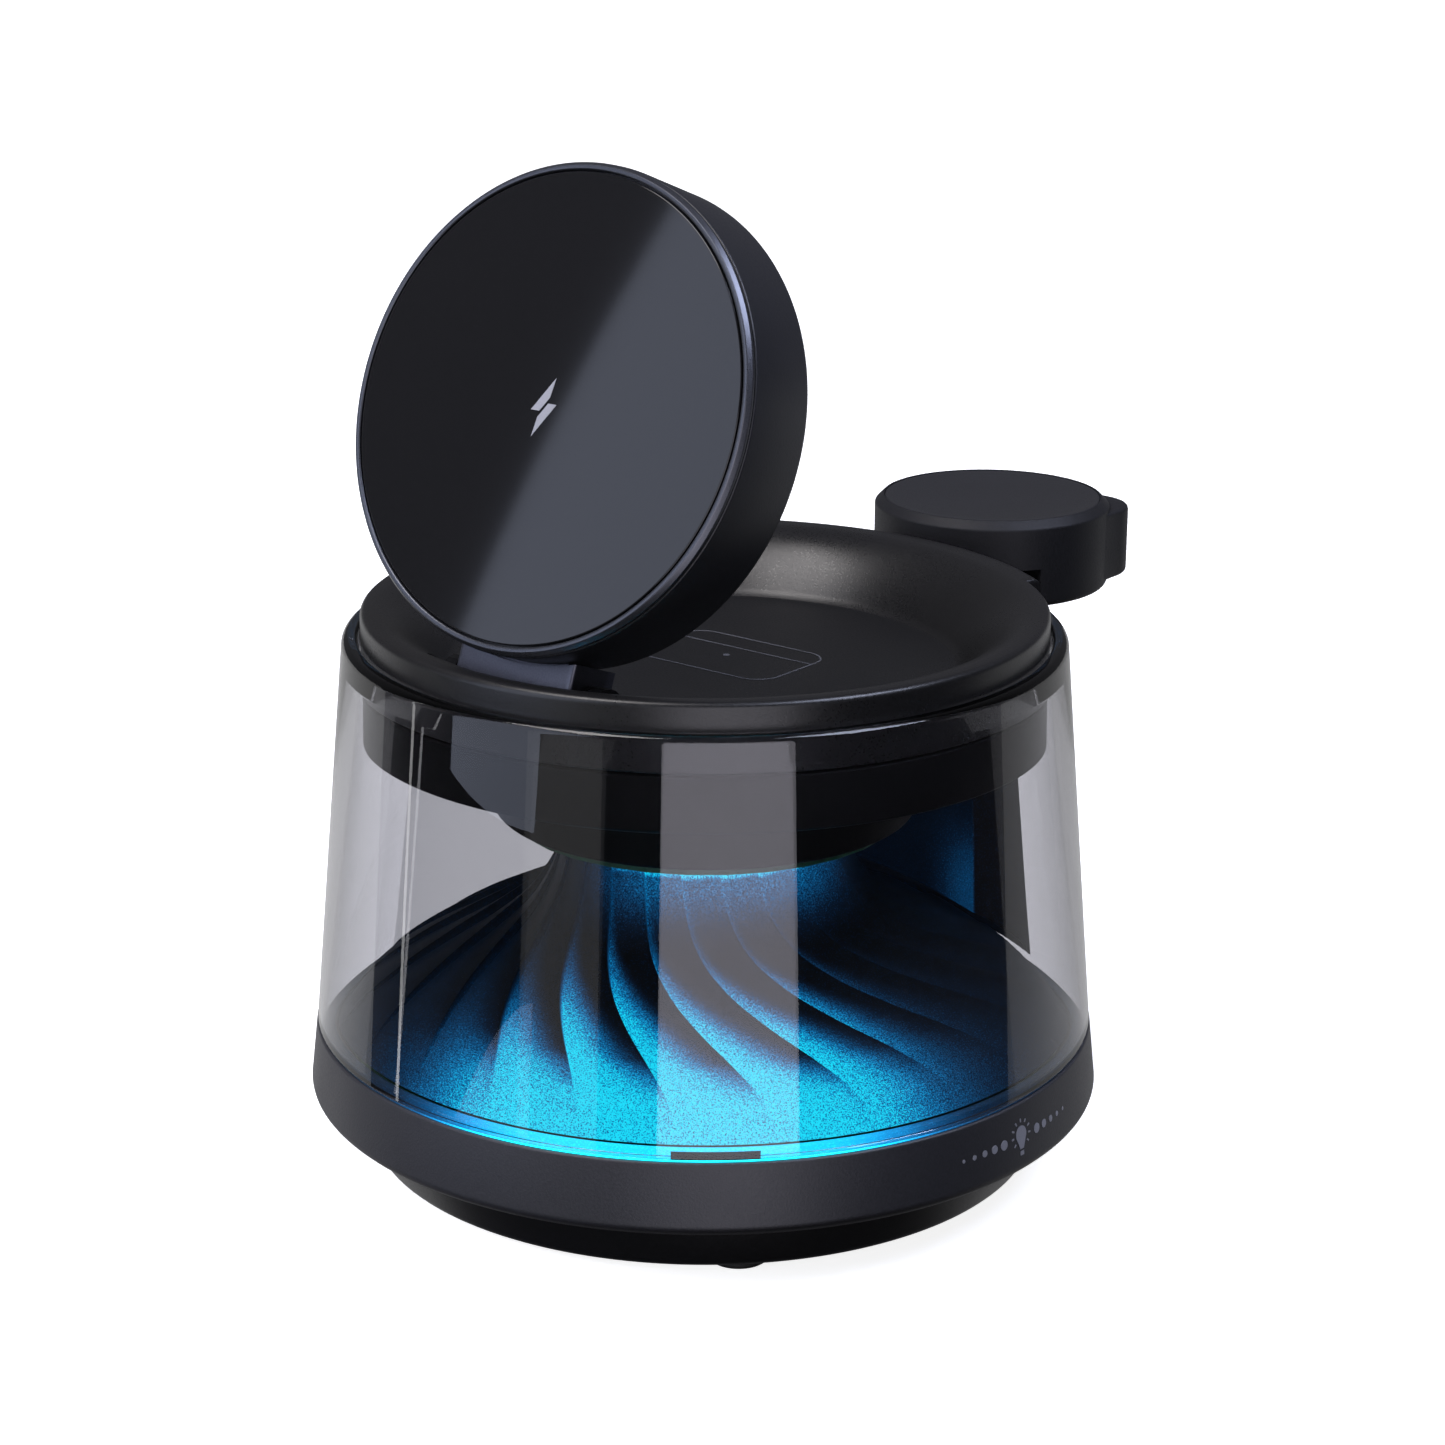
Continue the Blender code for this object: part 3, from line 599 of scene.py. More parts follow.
def bottom_cover():
    """The dark plinth, with its pockets for the feet and its screw holes."""
    top = RING_BOTTOM - GAP
    profile = filleted(
        [
            (0, PLINTH_BOTTOM, 0),
            (PLINTH_RADIUS - 0.6, PLINTH_BOTTOM, 1.6),
            (PLINTH_RADIUS + 1.6, top, 0.2),
            (PLINTH_RADIUS - 0.6, top, 0.2),
            (PLINTH_RADIUS - 2.0, PLINTH_INSIDE, 0),
            (0, PLINTH_INSIDE, 0),
        ]
    )
    plinth = to_object("bottom_cover_fine", turned(profile))
    pocket_top = FOOT_HEIGHT + GAP
    cuts = [moved(disc(FOOT_RADIUS + GAP, -1.0, pocket_top), x, y) for x, y in four_at(FOOT_CIRCLE, 45)]
    cuts += [moved(disc(SCREW_HEAD_RADIUS, -1.0, 2.4, 32), x, y) for x, y in four_at(SCREW_CIRCLE, 20)]
    cuts += [moved(disc(SCREW_HOLE_RADIUS, 1.5, 5.0, 24), x, y) for x, y in four_at(SCREW_CIRCLE, 20)]
    combine(plinth, "DIFFERENCE", cuts)
    dress(plinth, satin_black, "stand", ["bottom_cover"])


def feet():
    sides = ("rear_right", "rear_left", "front_left", "front_right")
    pad = filleted([(0, 0, 0), (FOOT_RADIUS, 0, 0.6), (FOOT_RADIUS, FOOT_HEIGHT, 0.2), (0, FOOT_HEIGHT, 0)])
    for side, (x, y) in zip(sides, four_at(FOOT_CIRCLE, 45)):
        foot = to_object("foot_" + side + "_fine", moved(turned(pad, 64), x, y))
        dress(foot, rubber, "stand", ["foot_" + side])


MARKS_ANGLE = -1.3
MARKS_HEIGHT = 13.2


def bulb_outlines():
    """A lamp bulb, its cap and its rays, as outlines across and up from the middle of the touch strip."""
    centre, radius, neck = Vector((0, 0.35)), 1.05, 0.36
    glass = arc(centre.x, centre.y, radius, -35, 215, 28) + [Vector((-neck, -1.45)), Vector((neck, -1.45))]
    cap = [Vector(p) for p in ((-neck, -2.25), (neck, -2.25), (neck, -1.72), (-neck, -1.72))]
    outlines = [glass, cap]
    for i in range(9):
        turn = math.radians(-40 + 32.5 * i)
        spoke = Vector((math.cos(turn), math.sin(turn)))
        half = 0.11 * Vector((-spoke.y, spoke.x))
        near, far = centre + 1.5 * spoke, centre + 1.95 * spoke
        outlines.append([near - half, far - half, far + half, near + half])
    return outlines


def dot_outlines():
    """Shrinking dots on both sides of the bulb."""
    outlines = []
    for i in range(5):
        reach, radius = 3.4 + 1.75 * i, 0.62 - 0.1 * i
        outlines += [arc(side * reach, 0, radius, 0, 345, 23) for side in (-1, 1)]
    return outlines


def on_ring(across, up, proud):
    """A point of the touch strip, that far in front of the ring's sloping wall."""
    slope = (BASE_RADIUS - RING_TOP_RADIUS) / (RING_TOP - RING_BOTTOM - RING_EDGE)
    height = MARKS_HEIGHT + up
    radius = RING_TOP_RADIUS + slope * (RING_TOP - height) + proud
    return polar_point(radius, MARKS_ANGLE + math.degrees(across / BASE_RADIUS), height)


def touch_marks():
    """The brightness strip on the right of the ring: a lamp bulb between two rows of shrinking dots."""
    shape = bmesh.new()
    for outline in bulb_outlines() + dot_outlines():
        inner = [shape.verts.new(on_ring(x, y, -0.05)) for x, y in outline]
        outer = [shape.verts.new(on_ring(x, y, 0.035)) for x, y in outline]
        close_between(shape, inner, outer)
    dress(to_object("touch_strip_marks", shape), print_light, "stand")


# Light: the lamp's ring, and the reflector and the spine with painted light


LIT_ANGLE = -57.0
LIT_HALF_RIGHT = 40.0
LIT_HALF_LEFT = 37.0
LEAST_SHARE = 0.02


def angle_from(middle, angle):
    """The signed turn from a middle angle, between -180 and 180."""
    return (angle - middle + 180) % 360 - 180


def front_share(angle):
    """How much of the lamp's light a polar angle gets: most of it goes to a sector at the front right."""
    off = angle_from(LIT_ANGLE, angle)
    half_width = LIT_HALF_RIGHT if off > 0 else LIT_HALF_LEFT
    return LEAST_SHARE + (1 - LEAST_SHARE) / (1 + (abs(off) / half_width) ** 6)


def light_guide():
    """The lit ring at the foot of the cover, with a thin lip that shows in the gap under it."""
    inner, outer, lip = 45.7, 46.8, 48.8
    low, lip_low, lip_high, high = 16.7, 17.48, 17.62, 18.3
    profile = [(inner, low), (outer, low), (outer, lip_low - 0.02), (lip, lip_low + 0.02)]
    profile += [(lip, lip_high), (outer, lip_high), (outer, high), (inner, high)]
    guide = to_object("light_guide_fine", turned(profile, 360))

    def lit(p):
        on_lip = math.hypot(p.x, p.y) > outer + 0.7
        return (1.0 if on_lip else 0.8) * front_share(math.degrees(math.atan2(p.y, p.x))) ** 1.5

    set_glow(guide, [lit(v.co / MM) for v in guide.data.vertices])
    dress(guide, guide_glow, "stand", ["light_guide_ring"])


def locating_tab():
    """The small dark tab that keeps the cover from turning."""
    inner, outer, start, end = 46.86, 47.0, -56, -43.5
    outline = arc(0, 0, outer, start, end, 12) + arc(0, 0, inner, end, start, 12)
    tab = to_object("cover_locating_tab", prism(outline, COVER_BOTTOM, COVER_BOTTOM + 0.5))
    dress(tab, satin_black, "stand")


def set_glow(obj, levels):
    """Stores how brightly each point is lit, for the emitting materials, which paint that light on."""
    obj.data.attributes.new("glow", "FLOAT", "POINT").data.foreach_set("value", levels)


REFLECTOR_PROFILE = [
    (17.6, 43.6),
    (18.3, 40.0),
    (19.6, 36.6),
    (22.4, 33.1),
    (27.0, 30.2),
    (32.5, 27.6),
    (38.0, 25.0),
    (42.6, 22.0),
    (45.3, 18.4),
]
REFLECTOR_INSIDE = [(43.3, 18.4), (40.0, 19.6), (30.0, 25.2), (20.0, 31.2), (15.4, 38.0), (14.6, 43.6)]
VANES = 24
VANE_STEPS = 24
EDGE_STEP = 0.01  # share of a vane's width that its crisp edge takes
VANE_TWIST = 31.0  # degrees that a vane's edge lags at the radius that is TWIST_REACH inside TWIST_START
VANE_AT_RIM = -56.0
TWIST_START = 44.0
TWIST_REACH = 24.0
TWIST_POWER = 1.3
RIDGE = 1.0
RIDGE_POWER = 1.3
# How far the painted light on a vane spreads from its edge, as a share of its width, and how bright its edge
# is, both against the share of the way from the neck to the rim
GLOW_WIDTH = [(0.0, 0.10), (0.26, 0.36), (0.45, 0.66), (0.79, 1.15), (0.88, 2.0), (0.95, 4.0), (1.0, 6.0)]
GLOW_PEAK = [(0.0, 0.05), (0.15, 0.16), (0.26, 0.36), (0.45, 0.62), (0.62, 0.85), (0.8, 1.02), (1.0, 1.06)]


def smoothstep(low, high, value):
    share = min(1.0, max(0.0, (value - low) / (high - low)))
    return share * share * (3 - 2 * share)


def between(table, value):
    for (x0, y0), (x1, y1) in zip(table, table[1:]):
        if value <= x1:
            return y0 + (y1 - y0) * (value - x0) / (x1 - x0)
    return table[-1][1]


def painted_vane_light(phase, share, angle, height):
    """Painted light on the reflector, for its emission: it comes up from the rim, caught on the lit side of
    each vane's edge, and down from the lamp at the neck."""
    fade = 1 - smoothstep(0.0, 1.0, phase / between(GLOW_WIDTH, share))
    from_rim = between(GLOW_PEAK, share) * fade * front_share(angle)
    from_neck = 0.75 * smoothstep(41.0, 41.9, height) + 0.36 * smoothstep(33.0, 41.0, height)
    side = abs(angle_from(-42.0, angle))
    from_neck *= 0.08 + 0.92 * (1 - smoothstep(25.0, 75.0, side))
    return min(1.0, from_rim + from_neck)


def vane_point(radius, height, share, vane, phase):
    """A point of the swirl, and its painted light. share runs from neck to rim, phase from one edge to the
    next.
    """
    lag = VANE_TWIST * (max(0.0, TWIST_START - radius) / TWIST_REACH) ** TWIST_POWER
    angle = VANE_AT_RIM - lag + (vane + phase) * 360.0 / VANES
    depth = RIDGE * math.sin(math.pi * min(1.0, 0.12 + 0.88 * share)) ** 0.8
    drop = 0.0 if phase == 0.0 else depth * (1.0 - phase) ** RIDGE_POWER
    glow = painted_vane_light(phase if phase > 0.0 else 1.0, share, angle, height)
    return polar_point(radius - 0.5 * drop, angle, height - drop), glow


def reflector():
    """The swirl: vanes that lean one over the next, each with a crisp edge, on a flared cone, with the lamps'
    light painted on.
    """
    line = smooth_line(REFLECTOR_PROFILE, 10)
    neck, rim = line[0][0], line[-1][0]
    phases = [0.0] + [EDGE_STEP + (1 - EDGE_STEP) * i / VANE_STEPS for i in range(VANE_STEPS)]
    columns = VANES * len(phases)
    shape = bmesh.new()
    rows, glow = [], []
    for radius, height in line:
        share = math.log(radius / neck) / math.log(rim / neck)
        row = []
        for vane in range(VANES):
            for phase in phases:
                point, level = vane_point(radius, height, share, vane, phase)
                row.append(shape.verts.new(point))
                glow.append(level)
        rows.append(row)
    for radius, height in REFLECTOR_INSIDE:
        angles = [VANE_AT_RIM + 360 * i / columns for i in range(columns)]
        rows.append([shape.verts.new(polar_point(radius, angle, height)) for angle in angles])
        glow += [0.0] * columns
    for low, high in zip(rows, rows[1:] + rows[:1]):
        for i in range(columns):
            j = (i + 1) % columns
            shape.faces.new((low[i], low[j], high[j], high[i]))
    swirl = to_object("swirl_reflector_fine", shape)
    set_glow(swirl, glow)
    dress(swirl, reflector_painted_glow, "stand", ["swirl_reflector"], sharp=40)


def cover_radius(height):
    share = (height - COVER_BOTTOM) / (COVER_SHOULDER - COVER_BOTTOM)
    return COVER_FOOT_RADIUS + (COVER_SHOULDER_RADIUS - COVER_FOOT_RADIUS) * share


SPINE_FRONT = 31.0
SPINE_TOP = HOUSING_BOTTOM - GAP
SPINE_HALF_ANGLE = 33.0
SPINE_FOOT_RADIUS = 45.3
SPINE_COLUMNS = 61
SPINE_ROWS = 21


def spine_column(shape, angle):
    """Points from the flat front back to the cover at one polar angle: along the top, and along the foot."""
    front = SPINE_FRONT / math.sin(math.radians(angle))
    top_radius = cover_radius(SPINE_TOP) - COVER_WALL - 0.5
    upper, lower = [], []
    for k in range(SPINE_ROWS):
        share = k / (SPINE_ROWS - 1)
        r_top = front + (top_radius - front) * share
        r_low = front + (SPINE_FOOT_RADIUS - front) * share
        foot = max(between(REFLECTOR_PROFILE, r_low), between(REFLECTOR_PROFILE, r_low - 1.0)) + 0.6
        upper.append(shape.verts.new(polar_point(r_top, angle, SPINE_TOP)))
        lower.append(shape.verts.new(polar_point(r_low, angle, foot)))
    return upper, lower


def painted_spine_light(p):
    """Painted light on the spine's flat front: a blue wash of the lamp's light from above, brighter towards
    the top and to the right, with a faint patch low down on the right.
    """
    if p.y > SPINE_FRONT + 0.2:
        return 0.0
    across = smoothstep(-12.0, 21.0, p.x)
    low = 0.22 * smoothstep(12.0, 20.0, p.x) * (1 - smoothstep(30.0, 41.0, p.z))
    return (0.15 + 0.60 * across) * smoothstep(42.0, SPINE_TOP, p.z) ** 1.4 + low + 0.03


def spine():
    """The rear column behind the reflector, flat inside, which stands on the reflector's slope."""
    shape = bmesh.new()
    last = SPINE_COLUMNS - 1
    angles = [90 + SPINE_HALF_ANGLE - 2 * SPINE_HALF_ANGLE * i / last for i in range(SPINE_COLUMNS)]
    columns = [spine_column(shape, angle) for angle in angles]
    for (up_a, low_a), (up_b, low_b) in zip(columns, columns[1:]):
        for k in range(SPINE_ROWS - 1):
            shape.faces.new((up_a[k], up_b[k], up_b[k + 1], up_a[k + 1]))
            shape.faces.new((low_a[k + 1], low_b[k + 1], low_b[k], low_a[k]))
        shape.faces.new((low_a[0], low_b[0], up_b[0], up_a[0]))
        shape.faces.new((up_a[-1], up_b[-1], low_b[-1], low_a[-1]))
    for upper, lower in (columns[0], columns[-1]):
        for k in range(SPINE_ROWS - 1):
            shape.faces.new((lower[k], upper[k], upper[k + 1], lower[k + 1]))
    upright = [e for e in shape.edges if abs(e.verts[0].co.z - e.verts[1].co.z) > 5]
    bmesh.ops.subdivide_edges(shape, edges=upright, cuts=11, use_grid_fill=True)
    column = to_object("rear_spine_fine", shape)
    # Painted light from the lamp above, carried by the spine's emission
    set_glow(column, [painted_spine_light(v.co / MM) for v in column.data.vertices])
    dress(column, spine_painted_glow, "stand", ["rear_spine"])


# Cover, housing and lid


def rear_edges(half_angle):
    return [90 + side * (half_angle + extra) for side in (-1, 1) for extra in (0.0, 0.5)]


def in_rear(angle, half_angle):
    return abs(angle - 90) <= half_angle + 0.25


def arm_way(low, high, y0=36, y1=52):
    """The clear way for the watch pod's bracket."""
    half = ARM_HALF + ARM_CLEARANCE
    return block(-half, half, y0, y1, low, high)


def cover():
    """The conical acrylic wall with a rolled shoulder. Along the rear its rim is lower."""
    rim_radius = LID_RADIUS + 0.35
    low_stretch = REAR_SECTOR + 1.2

    def lower_rear_rim(radius, height, angle):
        return radius, (min(height, REAR_RIM) if in_rear(angle, low_stretch) else height)

    profile = filleted(
        [
            (cover_radius(COVER_BOTTOM) - COVER_WALL, COVER_BOTTOM, 0.15),
            (cover_radius(COVER_BOTTOM), COVER_BOTTOM, 0.25),
            (cover_radius(COVER_TOP) + 0.1, COVER_TOP, 2.6),
            (rim_radius, COVER_TOP, 0.5),
            (rim_radius, COVER_SHOULDER, 3.0),
        ],
        10,
    )
    wall = turned(profile, FINE_SEGMENTS, rear_edges(low_stretch), lower_rear_rim)
    wall = to_object("smoked_cover_fine", wall)
    combine(wall, "DIFFERENCE", [arm_way(57.6, LID_CREST + 1.4)])
    dress(wall, smoked, "stand", ["smoked_cover"])
    wall.visible_shadow = False


def housing():
    """The dark band inside the top of the cover, which holds the earbuds coil."""
    inner, floor_top = HOUSING_RADIUS - HOUSING_WALL, HOUSING_BOTTOM + HOUSING_WALL
    hole = 18.0
    profile = filleted(
        [
            (HOUSING_RADIUS, HOUSING_BOTTOM, 0.5),
            (HOUSING_RADIUS, HOUSING_TOP, 0.3),
            (inner, HOUSING_TOP, 0.3),
            (inner, floor_top, 0.3),
            (hole, floor_top, 0),
            (hole, HOUSING_BOTTOM, 0),
        ]
    )
    shell = to_object("upper_housing_fine", turned(profile))
    combine(shell, "DIFFERENCE", [arm_way(57.0, LID_CREST + 1.4)])
    dress(shell, shaded_inner_black, "stand", ["upper_housing"])


def hood():
    """The lamp's hood under the housing."""
    inner, hole = HOOD_RADIUS - 2.0, 10.0
    top, floor_top = HOUSING_BOTTOM - GAP, HOOD_BOTTOM + 1.5
    profile = filleted(
        [
            (HOOD_RADIUS, HOOD_BOTTOM, 0.5),
            (HOOD_RADIUS, top, 0.2),
            (inner, top, 0),
            (inner, floor_top, 0),
            (hole, floor_top, 0),
            (hole, HOOD_BOTTOM, 0.2),
        ]
    )
    shell = to_object("lamp_hood_fine", turned(profile))
    dress(shell, shaded_inner_black, "stand", ["lamp_hood"])


def lid_corners(ledge):
    """The dish's section: a flat floor, then a slope that leaves the crest level and falls steeper to it."""
    steps = 28
    corners = [(0, LID_FLOOR, 0), (LID_FLOOR_RADIUS - 0.3, LID_FLOOR, 0)]
    for i in range(1, steps):
        share = i / steps
        radius = LID_FLOOR_RADIUS + (LID_CREST_RADIUS - LID_FLOOR_RADIUS) * share
        height = LID_FLOOR + (LID_CREST - LID_FLOOR) * math.sin(share * math.pi / 2)
        corners.append((radius, height, 0))
    inner, bottom, under_floor = LID_RADIUS - 2.0, HOUSING_TOP + GAP, LID_FLOOR - 1.8
    corners += [
        (LID_RADIUS, LID_CREST, 1.5),
        (LID_RADIUS, ledge, 0),
        (LID_RADIUS, ledge - 0.1, 0),
        (LID_RADIUS, bottom, 0.2),
        (inner, bottom, 0),
        (inner, LID_CREST - 3.2, 0),
        (38.4, LID_CREST - 3.4, 0),
        (33.4, LID_FLOOR - 0.4, 0),
        (31.0, under_floor, 0),
        (0, under_floor, 0),
    ]
    return corners


def lid():
    """The dish. Along the rear its lip reaches out over the cover's lower rim."""
    ledge = REAR_RIM + GAP

    def reach_over_cover(radius, height, angle):
        if in_rear(angle, REAR_SECTOR) and radius > LID_CREST_RADIUS and height >= ledge:
            radius += 1.7 * min(1.0, (radius - LID_CREST_RADIUS) / (LID_RADIUS - LID_CREST_RADIUS))
        return radius, height

    profile = filleted(lid_corners(ledge))
    dish = turned(profile, FINE_SEGMENTS, rear_edges(REAR_SECTOR), reach_over_cover)
    dish = to_object("lid_dish_fine", dish)
    well = block(-13.4, 13.4, -38.2, -26.4, 58.8, LID_FLOOR - 1.0)
    combine(dish, "UNION", [well])
    half, front, rear = 12.6, -37.4, -27.2
    pocket = filleted([(half, front, 1.0), (half, rear, 1.0), (-half, rear, 1.0), (-half, front, 1.0)])
    combine(dish, "DIFFERENCE", [prism(pocket, 59.6, 80), arm_way(50, 65.9)])
    dress(dish, lid_black, "stand", ["lid_dish"])


def ribbon(line, width, low, high, closed=True):
    """A flat line of ink, as a band along a line of points."""
    count = len(line)
    sides = ([], [])
    for i, point in enumerate(line):
        before = line[i - 1] if closed or i > 0 else point
        after = line[(i + 1) % count] if closed or i < count - 1 else point
        along = (after - before).normalized()
        across = Vector((-along.y, along.x)) * width / 2
        sides[0].append(point - across)
        sides[1].append(point + across)
    shape = bmesh.new()
    grid = []
    for side, height in ((0, low), (1, low), (1, high), (0, high)):
        grid.append([shape.verts.new((p.x, p.y, height)) for p in sides[side]])
    for a, b in zip(grid, grid[1:] + grid[:1]):
        for i in range(count if closed else count - 1):
            j = (i + 1) % count
            shape.faces.new((a[i], a[j], b[j], b[i]))
    if not closed:
        shape.faces.new([row[0] for row in grid])
        shape.faces.new([row[-1] for row in grid][::-1])
    return shape


def earbud_mark():
    """An earbuds case in outline on the lid's floor, with its lid line and lamp."""
    low, high, width = LID_FLOOR - 0.05, LID_FLOOR + 0.03, 0.22
    x0, x1, y0, y1, corner = -10.3, 11.0, -2.7, 11.3, 3.2
    case = filleted([(x0, y0, corner), (x1, y0, corner), (x1, y1, corner), (x0, y1, corner)], 12)
    outline = to_object("earbud_mark_case", ribbon(case, width, low, high))
    dress(outline, print_grey, "stand")
    hinge = [Vector((x0 + width / 2 + (x1 - x0 - width) * i / 8, 7.3)) for i in range(9)]
    line = to_object("earbud_mark_lid_line", ribbon(hinge, width, low, high, closed=False))
    dress(line, print_grey, "stand")
    lamp = to_object("earbud_mark_lamp", moved(disc(0.42, low, high, 32), 0.2, 4.0))
    dress(lamp, print_grey, "stand")


# Phone disc


def on_disc(name, shape):
    return to_object(name, put(shape, DISC_HINGE @ Matrix.Translation((0, DISC_CENTRE, 0))))


def disc_shell():
    low, high, wall = DISC_BACK, DISC_FACE - 1.15, 1.6
    inner, floor = DISC_RADIUS - wall, low + 1.75
    profile = filleted(
        [
            (0, low, 0),
            (DISC_RADIUS, low, 0.9),
            (DISC_RADIUS, high, 0.25),
            (inner, high, 0),
            (inner, floor, 0),
            (0, floor, 0),
        ]
    )
    shell = on_disc("disc_rear_shell_fine", turned(profile, FINE_SEGMENTS))
    tongue_slot = put(block(-7.4, 7.4, 0.0, 8.0, 1.35, 3.35), DISC_HINGE)
    combine(shell, "DIFFERENCE", [tongue_slot])
    dress(shell, disc_black, "phone_charger", ["disc_rear_shell"])


def disc_face():
    """The bright bezel and the glass inside it."""
    high, outer, inner = DISC_FACE, DISC_RADIUS - 0.1, DISC_RADIUS - 1.1
    profile = filleted(
        [
            (inner, high - 1.0, 0),
            (outer, high - 1.0, 0.1),
            (outer, high - 0.6, 0.2),
            (outer - 0.35, high - 0.12, 0.12),
            (outer - 0.45, high - 0.02, 0.1),
            (inner, high - 0.02, 0.3),
        ]
    )
    bezel = on_disc("disc_bezel_fine", turned(profile, FINE_SEGMENTS))
    dress(bezel, bezel_metal, "phone_charger", ["disc_bezel"])
    edge, low, top = DISC_GLASS_RADIUS, high - 1.2, high - 0.1
    profile = filleted([(0, low, 0), (edge, low, 0), (edge, top, 0.2), (0, top, 0)])
    glass = on_disc("disc_glass_fine", turned(profile, FINE_SEGMENTS))
    dress(glass, glass_black, "phone_charger", ["disc_glass"])


def charge_mark():
    """A generic charging bolt: one wedge, and the same wedge turned half round."""
    wedge = [(0.9, 3.55), (0.6, 1.2), (-0.55, -0.5), (-1.8, -0.5)]
    for name, turn in (("upper", 0), ("lower", 180)):
        half = prism(wedge, DISC_FACE - 0.15, DISC_FACE - 0.07)
        put(half, Matrix.Rotation(math.radians(turn), 4, "Z"))
        dress(on_disc("charge_mark_" + name, half), print_light, "phone_charger")


def phone_arm():
    """A round knuckle on the pin, a neck that runs up to the disc's edge, and a tongue that goes into it."""
    half, knuckle, neck, corner = DISC_KNUCKLE_HALF, DISC_KNUCKLE, 12, 0.9
    outline = filleted([(half, 0, corner), (half, neck, corner), (-half, neck, corner), (-half, 0, corner)])
    round_end = bevelled(rod(-half, half, 0, 0, knuckle, 72), 0.4, 4, 60)
    disc_way = moved(disc(DISC_RADIUS + GAP, -6, 12, FINE_SEGMENTS), 0, DISC_CENTRE)
    tongue = block(-7, 7, 1.0, 11.0, 1.7, 3.0)
    arm = to_object("phone_arm_fine", bevelled(prism(outline, -knuckle, knuckle), 0.45, 4))
    combine(arm, "UNION", [round_end])
    combine(arm, "DIFFERENCE", [disc_way])
    combine(arm, "UNION", [tongue])
    combine(arm, "DIFFERENCE", [rod(-THROUGH, THROUGH, 0, 0, BORE_RADIUS)])
    arm.data.transform(Matrix.Scale(MM, 4) @ DISC_HINGE @ Matrix.Scale(1 / MM, 4))
    dress(arm, arm_metal, "phone_charger", ["phone_arm"])


# Watch pod


def watch_bracket():
    y, z, knuckle = POD_HINGE_Y, POD_HINGE_Z, POD_KNUCKLE
    inner, outer = POD_KNUCKLE_HALF + 0.5, ARM_HALF
    low, high = z - knuckle, z + knuckle
    bar = bevelled(block(-outer, outer, 37.0, y - knuckle - 0.6, low, high), 0.5)
    arm = to_object("watch_hinge_bracket_fine", bar)
    joins = []
    for side in (-1, 1):
        x0, x1 = sorted((side * inner, side * outer))
        joins.append(block(x0, x1, y - 6, y, low, high))
        joins.append(rod(x0, x1, y, z, knuckle))
    combine(arm, "UNION", joins)
    combine(arm, "DIFFERENCE", [rod(1.2 - outer, outer - 1.2, y, z, BORE_RADIUS)])
    dress(arm, pod_black, "stand", ["watch_hinge_bracket"])


def pod_tail():
    """The squared rear half of the pod, hollowed where the puck goes."""
    side, corner = POD_TAIL_HALF, 6.0
    outline = filleted([(-side, 0, 0), (side, 0, 0), (side, side, corner), (-side, side, corner)], 14)
    tail = bevelled(prism(outline, POD_TAIL_BOTTOM, POD_TAIL_TOP), 0.6, 3, 50)
    tail = to_object("tail_piece", moved(tail, 0, POD_CENTRE))
    combine(tail, "DIFFERENCE", [moved(disc(POD_RADIUS - 1.2, 60.0, 80.0, 192), 0, POD_CENTRE)])
    shape = bmesh.new()
    shape.from_mesh(tail.data)
    bpy.data.objects.remove(tail)
    return put(shape, Matrix.Scale(1 / MM, 4))


def pod_shell():
    """A round puck whose rear half carries a squared tail, a little lower than the rim."""
    radius, bottom, top = POD_RADIUS, POD_BOTTOM, POD_TOP
    puck = filleted(
        [
            (0, bottom, 0),
            (radius, bottom, 0.9),
            (radius, top - 1.1, 0.5),
            (radius - 1.1, top, 0.35),
            (radius - 1.3, top, 0.1),
            (radius - 1.3, POD_FLOOR, 0),
            (0, POD_FLOOR, 0),
        ]
    )
    shell = to_object("watch_pod_shell_fine", moved(turned(puck), 0, POD_CENTRE))
    combine(shell, "UNION", [pod_tail()])
    y, z, half, knuckle = POD_HINGE_Y, POD_HINGE_Z, POD_KNUCKLE_HALF, POD_KNUCKLE
    hollow = moved(block(-9, 9, -6.4, 9, 62.1, 68.0), 0, POD_CENTRE)
    recess = arm_way(55, 65.9, 40, y + knuckle + 0.5)
    combine(shell, "DIFFERENCE", [hollow, recess])
    web = block(-half, half, y, y + 4.6, z - knuckle + 1.6, z + knuckle)
    combine(shell, "UNION", [rod(-half, half, y, z, knuckle), web])
    combine(shell, "DIFFERENCE", [rod(-THROUGH, THROUGH, y, z, BORE_RADIUS)])
    dress(shell, pod_black, "watch_charger", ["watch_pod_shell"])


def watch_pad():
    """The pod's pad, whose top is a shallow bowl."""
    rim, top, steps = 14.3, POD_TOP - 0.1, 16
    profile = filleted([(0, 68.8, 0), (rim, 68.8, 0.4), (rim + 0.32, top, 0.1), (rim, top, 0)])
    for i in range(1, steps):
        share = 1 - i / steps
        profile.append((rim * share, top - PAD_SINK * (1 - share**2)))
    profile.append((0, top - PAD_SINK))
    pad = to_object("watch_pad_fine", moved(turned(profile), 0, POD_CENTRE))
    dress(pad, pad_black, "watch_charger", ["watch_pad"])


# Studio


def area_light(name, size, radiance, tint):
    """A rectangular light that the camera can't see, told how bright it looks."""
    data = bpy.data.lights.new(name, "AREA")
    data.shape = "RECTANGLE"
    data.size, data.size_y = size
    data.energy = radiance * math.pi * size[0] * size[1]
    data.color = tint
    lamp = bpy.data.objects.new(name, data)
    lamp.visible_camera = False
    bpy.context.scene.collection.objects.link(lamp)
    return lamp


def softbox(name, polar, elevation, distance, size, radiance, tint):
    """A light placed by its direction from the middle of the stand, which it faces, and its distance."""
    lamp = area_light(name, size, radiance, tint)
    target = Vector((0, 0, 60 * MM))
    flat = Vector(polar_point(1.0, polar, 0))
    rise = math.radians(elevation)
    lamp.location = target + distance * (math.cos(rise) * flat + Vector((0, 0, math.sin(rise))))
    lamp.rotation_euler = (target - lamp.location).to_track_quat("-Z", "Y").to_euler()
    return lamp


